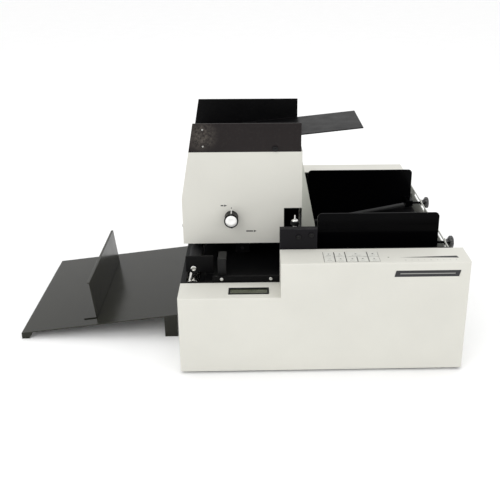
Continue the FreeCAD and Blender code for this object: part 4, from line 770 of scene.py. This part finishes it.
def lamp_and_display():
    """Domed lamp lens, and soft edges on the display and its bezel."""
    low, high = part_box("status_lamp")
    radius = (high.x - low.x) / 2
    centre = ((low.x + high.x) / 2, (low.y + high.y) / 2, 0)
    profile = [(radius, low.z)]
    for step in range(9):
        angle = math.pi / 2 * step / 9
        profile.append((radius * math.cos(angle), high.z - radius * 0.5 + radius * 0.5 * math.sin(angle)))
    finish_piece(lathe("lamp_lens", profile, centre, steps=40), "root", "lamp", ["status_lamp"])
    softened("lcd_bezel", 0.6 * MM)
    softened("lcd_display", 0.15 * MM, segments=2)


def badge():
    """Blank badge: a dark bar with a fine bright rule set in."""
    low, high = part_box("name_plate")
    wide, tall = high.x - low.x, high.z - low.z
    spot = facing(Vector(((low.x + high.x) / 2, high.y, (low.z + high.z) / 2)), (0, -1, 0))
    slant = 0.24 * tall
    bar = [(-wide / 2, -tall / 2), (wide / 2 - slant, -tall / 2), (wide / 2, tall / 2),
           (-wide / 2 + slant, tall / 2)]
    face = plate("badge_bar", bar, high.y - low.y, spot)
    bevelled(face, 0.2 * MM)
    finish_piece(face, "root", "badge", ["name_plate"])
    inner = [(-wide / 2 + 3.2 * slant, -tall * 0.06), (wide / 2 - 3.4 * slant, -tall * 0.06),
             (wide / 2 - 3.2 * slant, tall * 0.06), (-wide / 2 + 3.4 * slant, tall * 0.06)]
    rule = plate("badge_rule", inner, high.y - low.y + 0.05 * MM, spot)
    finish_piece(rule, "root", "badge", materials=["print_grey"])


# ---------------------------------------------------------------- rollers and works

def turned(node, core, materials):
    """A roller with soft edges: faces further out than core take the first material, the shaft's the
    second."""
    low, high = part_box(node)
    x, z = (low.x + high.x) / 2, (low.z + high.z) / 2

    def pick(centre, _normal):
        return 1 if math.hypot(centre.x - x, centre.z - z) < core else 0
    return softened(node, SMALL_EDGE, materials, pick)


def works():
    """Rollers, washers on the exit nip roller, small mouldings and the mains rocker's mark."""
    turned("exit_roller", DRIVE_SHAFT, ["roller_steel", "bright_metal"])
    for node in ("feed_roller", "pickup_roller"):
        turned(node, DRIVE_SHAFT, ["rubber", "roller_steel"])
    for node in ("label_drive_roller", "label_nip_roller", "applicator_roller", "exit_nip_roller"):
        turned(node, LABEL_SHAFT, [SLOT_OF[node], "bright_metal"])
    for node in ("motor_pulley", "separator_block", "label_sensor", "power_rocker"):
        softened(node, SMALL_EDGE)
    softened("power_inlet", 0.35 * MM)
    low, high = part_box("exit_nip_roller")
    radius, x, z = (high.x - low.x) / 2, (low.x + high.x) / 2, (low.z + high.z) / 2
    ring = [(radius * 0.28, -0.4 * MM), (radius * 0.40, -0.4 * MM), (radius * 0.42, 0), (radius * 0.28, 0)]
    washers = [lathe("front_washer", ring, (x, low.y, z), along="y", steps=48),
               lathe("rear_washer", [(r, -h) for r, h in ring], (x, high.y, z), along="y", steps=48)]
    finish_piece(merged("nip_washers", washers), BODY_OF["exit_nip_roller"], "screw_steel",
                 materials=["bright_metal"])
    rocker_low, rocker_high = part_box("power_rocker")
    spot = Vector(((rocker_low.x + rocker_high.x) / 2, rocker_high.y, (rocker_low.z + rocker_high.z) / 2))
    tall = rocker_high.z - rocker_low.z
    on = plate("on_mark", rounded(0.8 * MM, 4.0 * MM, 0.3 * MM), 0.06 * MM,
               facing(spot + Vector((0, -0.9 * MM, tall * 0.26)), (0, 1, 0)))
    finish_piece(on, "power_rocker", "black_plastic", materials=["white_mark"])


# ---------------------------------------------------------------- everything else

def plain_nodes():
    """CAD nodes whose shape stays get their finish on their own material slots."""
    for node, obj in frame["nodes"].items():
        material = FINISH[SLOT_OF[node]]
        if obj.material_slots:
            for entry in obj.material_slots:
                entry.material = material
        else:
            obj.data.materials.append(material)


plain_nodes()
sheet_metal()
fasteners()
feet()
selector()
panel_marks()
separator()
clamp_knobs()
adjusters()
keypad()
speed_scale()
lamp_and_display()
badge()
works()


# ---------------------------------------------------------------- studio

def floor():
    mesh = bpy.data.meshes.new("floor")
    reach = 30.0
    mesh.from_pydata([(-reach, -reach, 0), (reach, -reach, 0), (reach, reach, 0), (-reach, reach, 0)], [],
                     [(0, 1, 2, 3)])
    piece = object_from("floor", mesh)
    mesh.materials.append(finish_of("floor_card", (250, 250, 250), 0.75, spread=0.004, specular=0.2))


def area(name, place, target, size, power):
    light = bpy.data.lights.new(name, "AREA")
    light.shape = "RECTANGLE"
    light.size, light.size_y = size
    light.energy = power
    lamp = object_from(name, light)
    lamp.location = place
    lamp.rotation_euler = (Vector(target) - Vector(place)).to_track_quat("-Z", "Y").to_euler()


def studio():
    world = bpy.data.worlds.new("studio")
    world.use_nodes = True
    sky = world.node_tree.nodes["Background"]
    sky.inputs["Color"].default_value = (1.0, 1.0, 1.0, 1.0)
    sky.inputs["Strength"].default_value = 1.02
    bpy.context.scene.world = world
    centre = middle_of_object()
    area("key", (-1.5, -2.1, 2.1), centre, (1.6, 1.6), 17)
    area("top", (0.1, 0.4, 2.6), centre, (2.2, 2.2), 9)
    area("fill", (1.9, -1.2, 1.2), centre, (1.2, 1.4), 4)
    bpy.context.scene.view_settings.view_transform = "Standard"


def camera():
    data = bpy.data.cameras.new("camera")
    data.sensor_width = 36.0
    data.lens = 52.8
    data.shift_x, data.shift_y = -0.050, -0.10
    piece = object_from("camera", data)
    pitch, yaw = 0.360, 0.028
    ahead = Vector((math.sin(yaw) * math.cos(pitch), math.cos(yaw) * math.cos(pitch), -math.sin(pitch)))
    piece.location = (0.044, -1.396, 0.751)
    piece.rotation_euler = ahead.to_track_quat("-Z", "Y").to_euler()
    bpy.context.scene.camera = piece


floor()
studio()
camera()
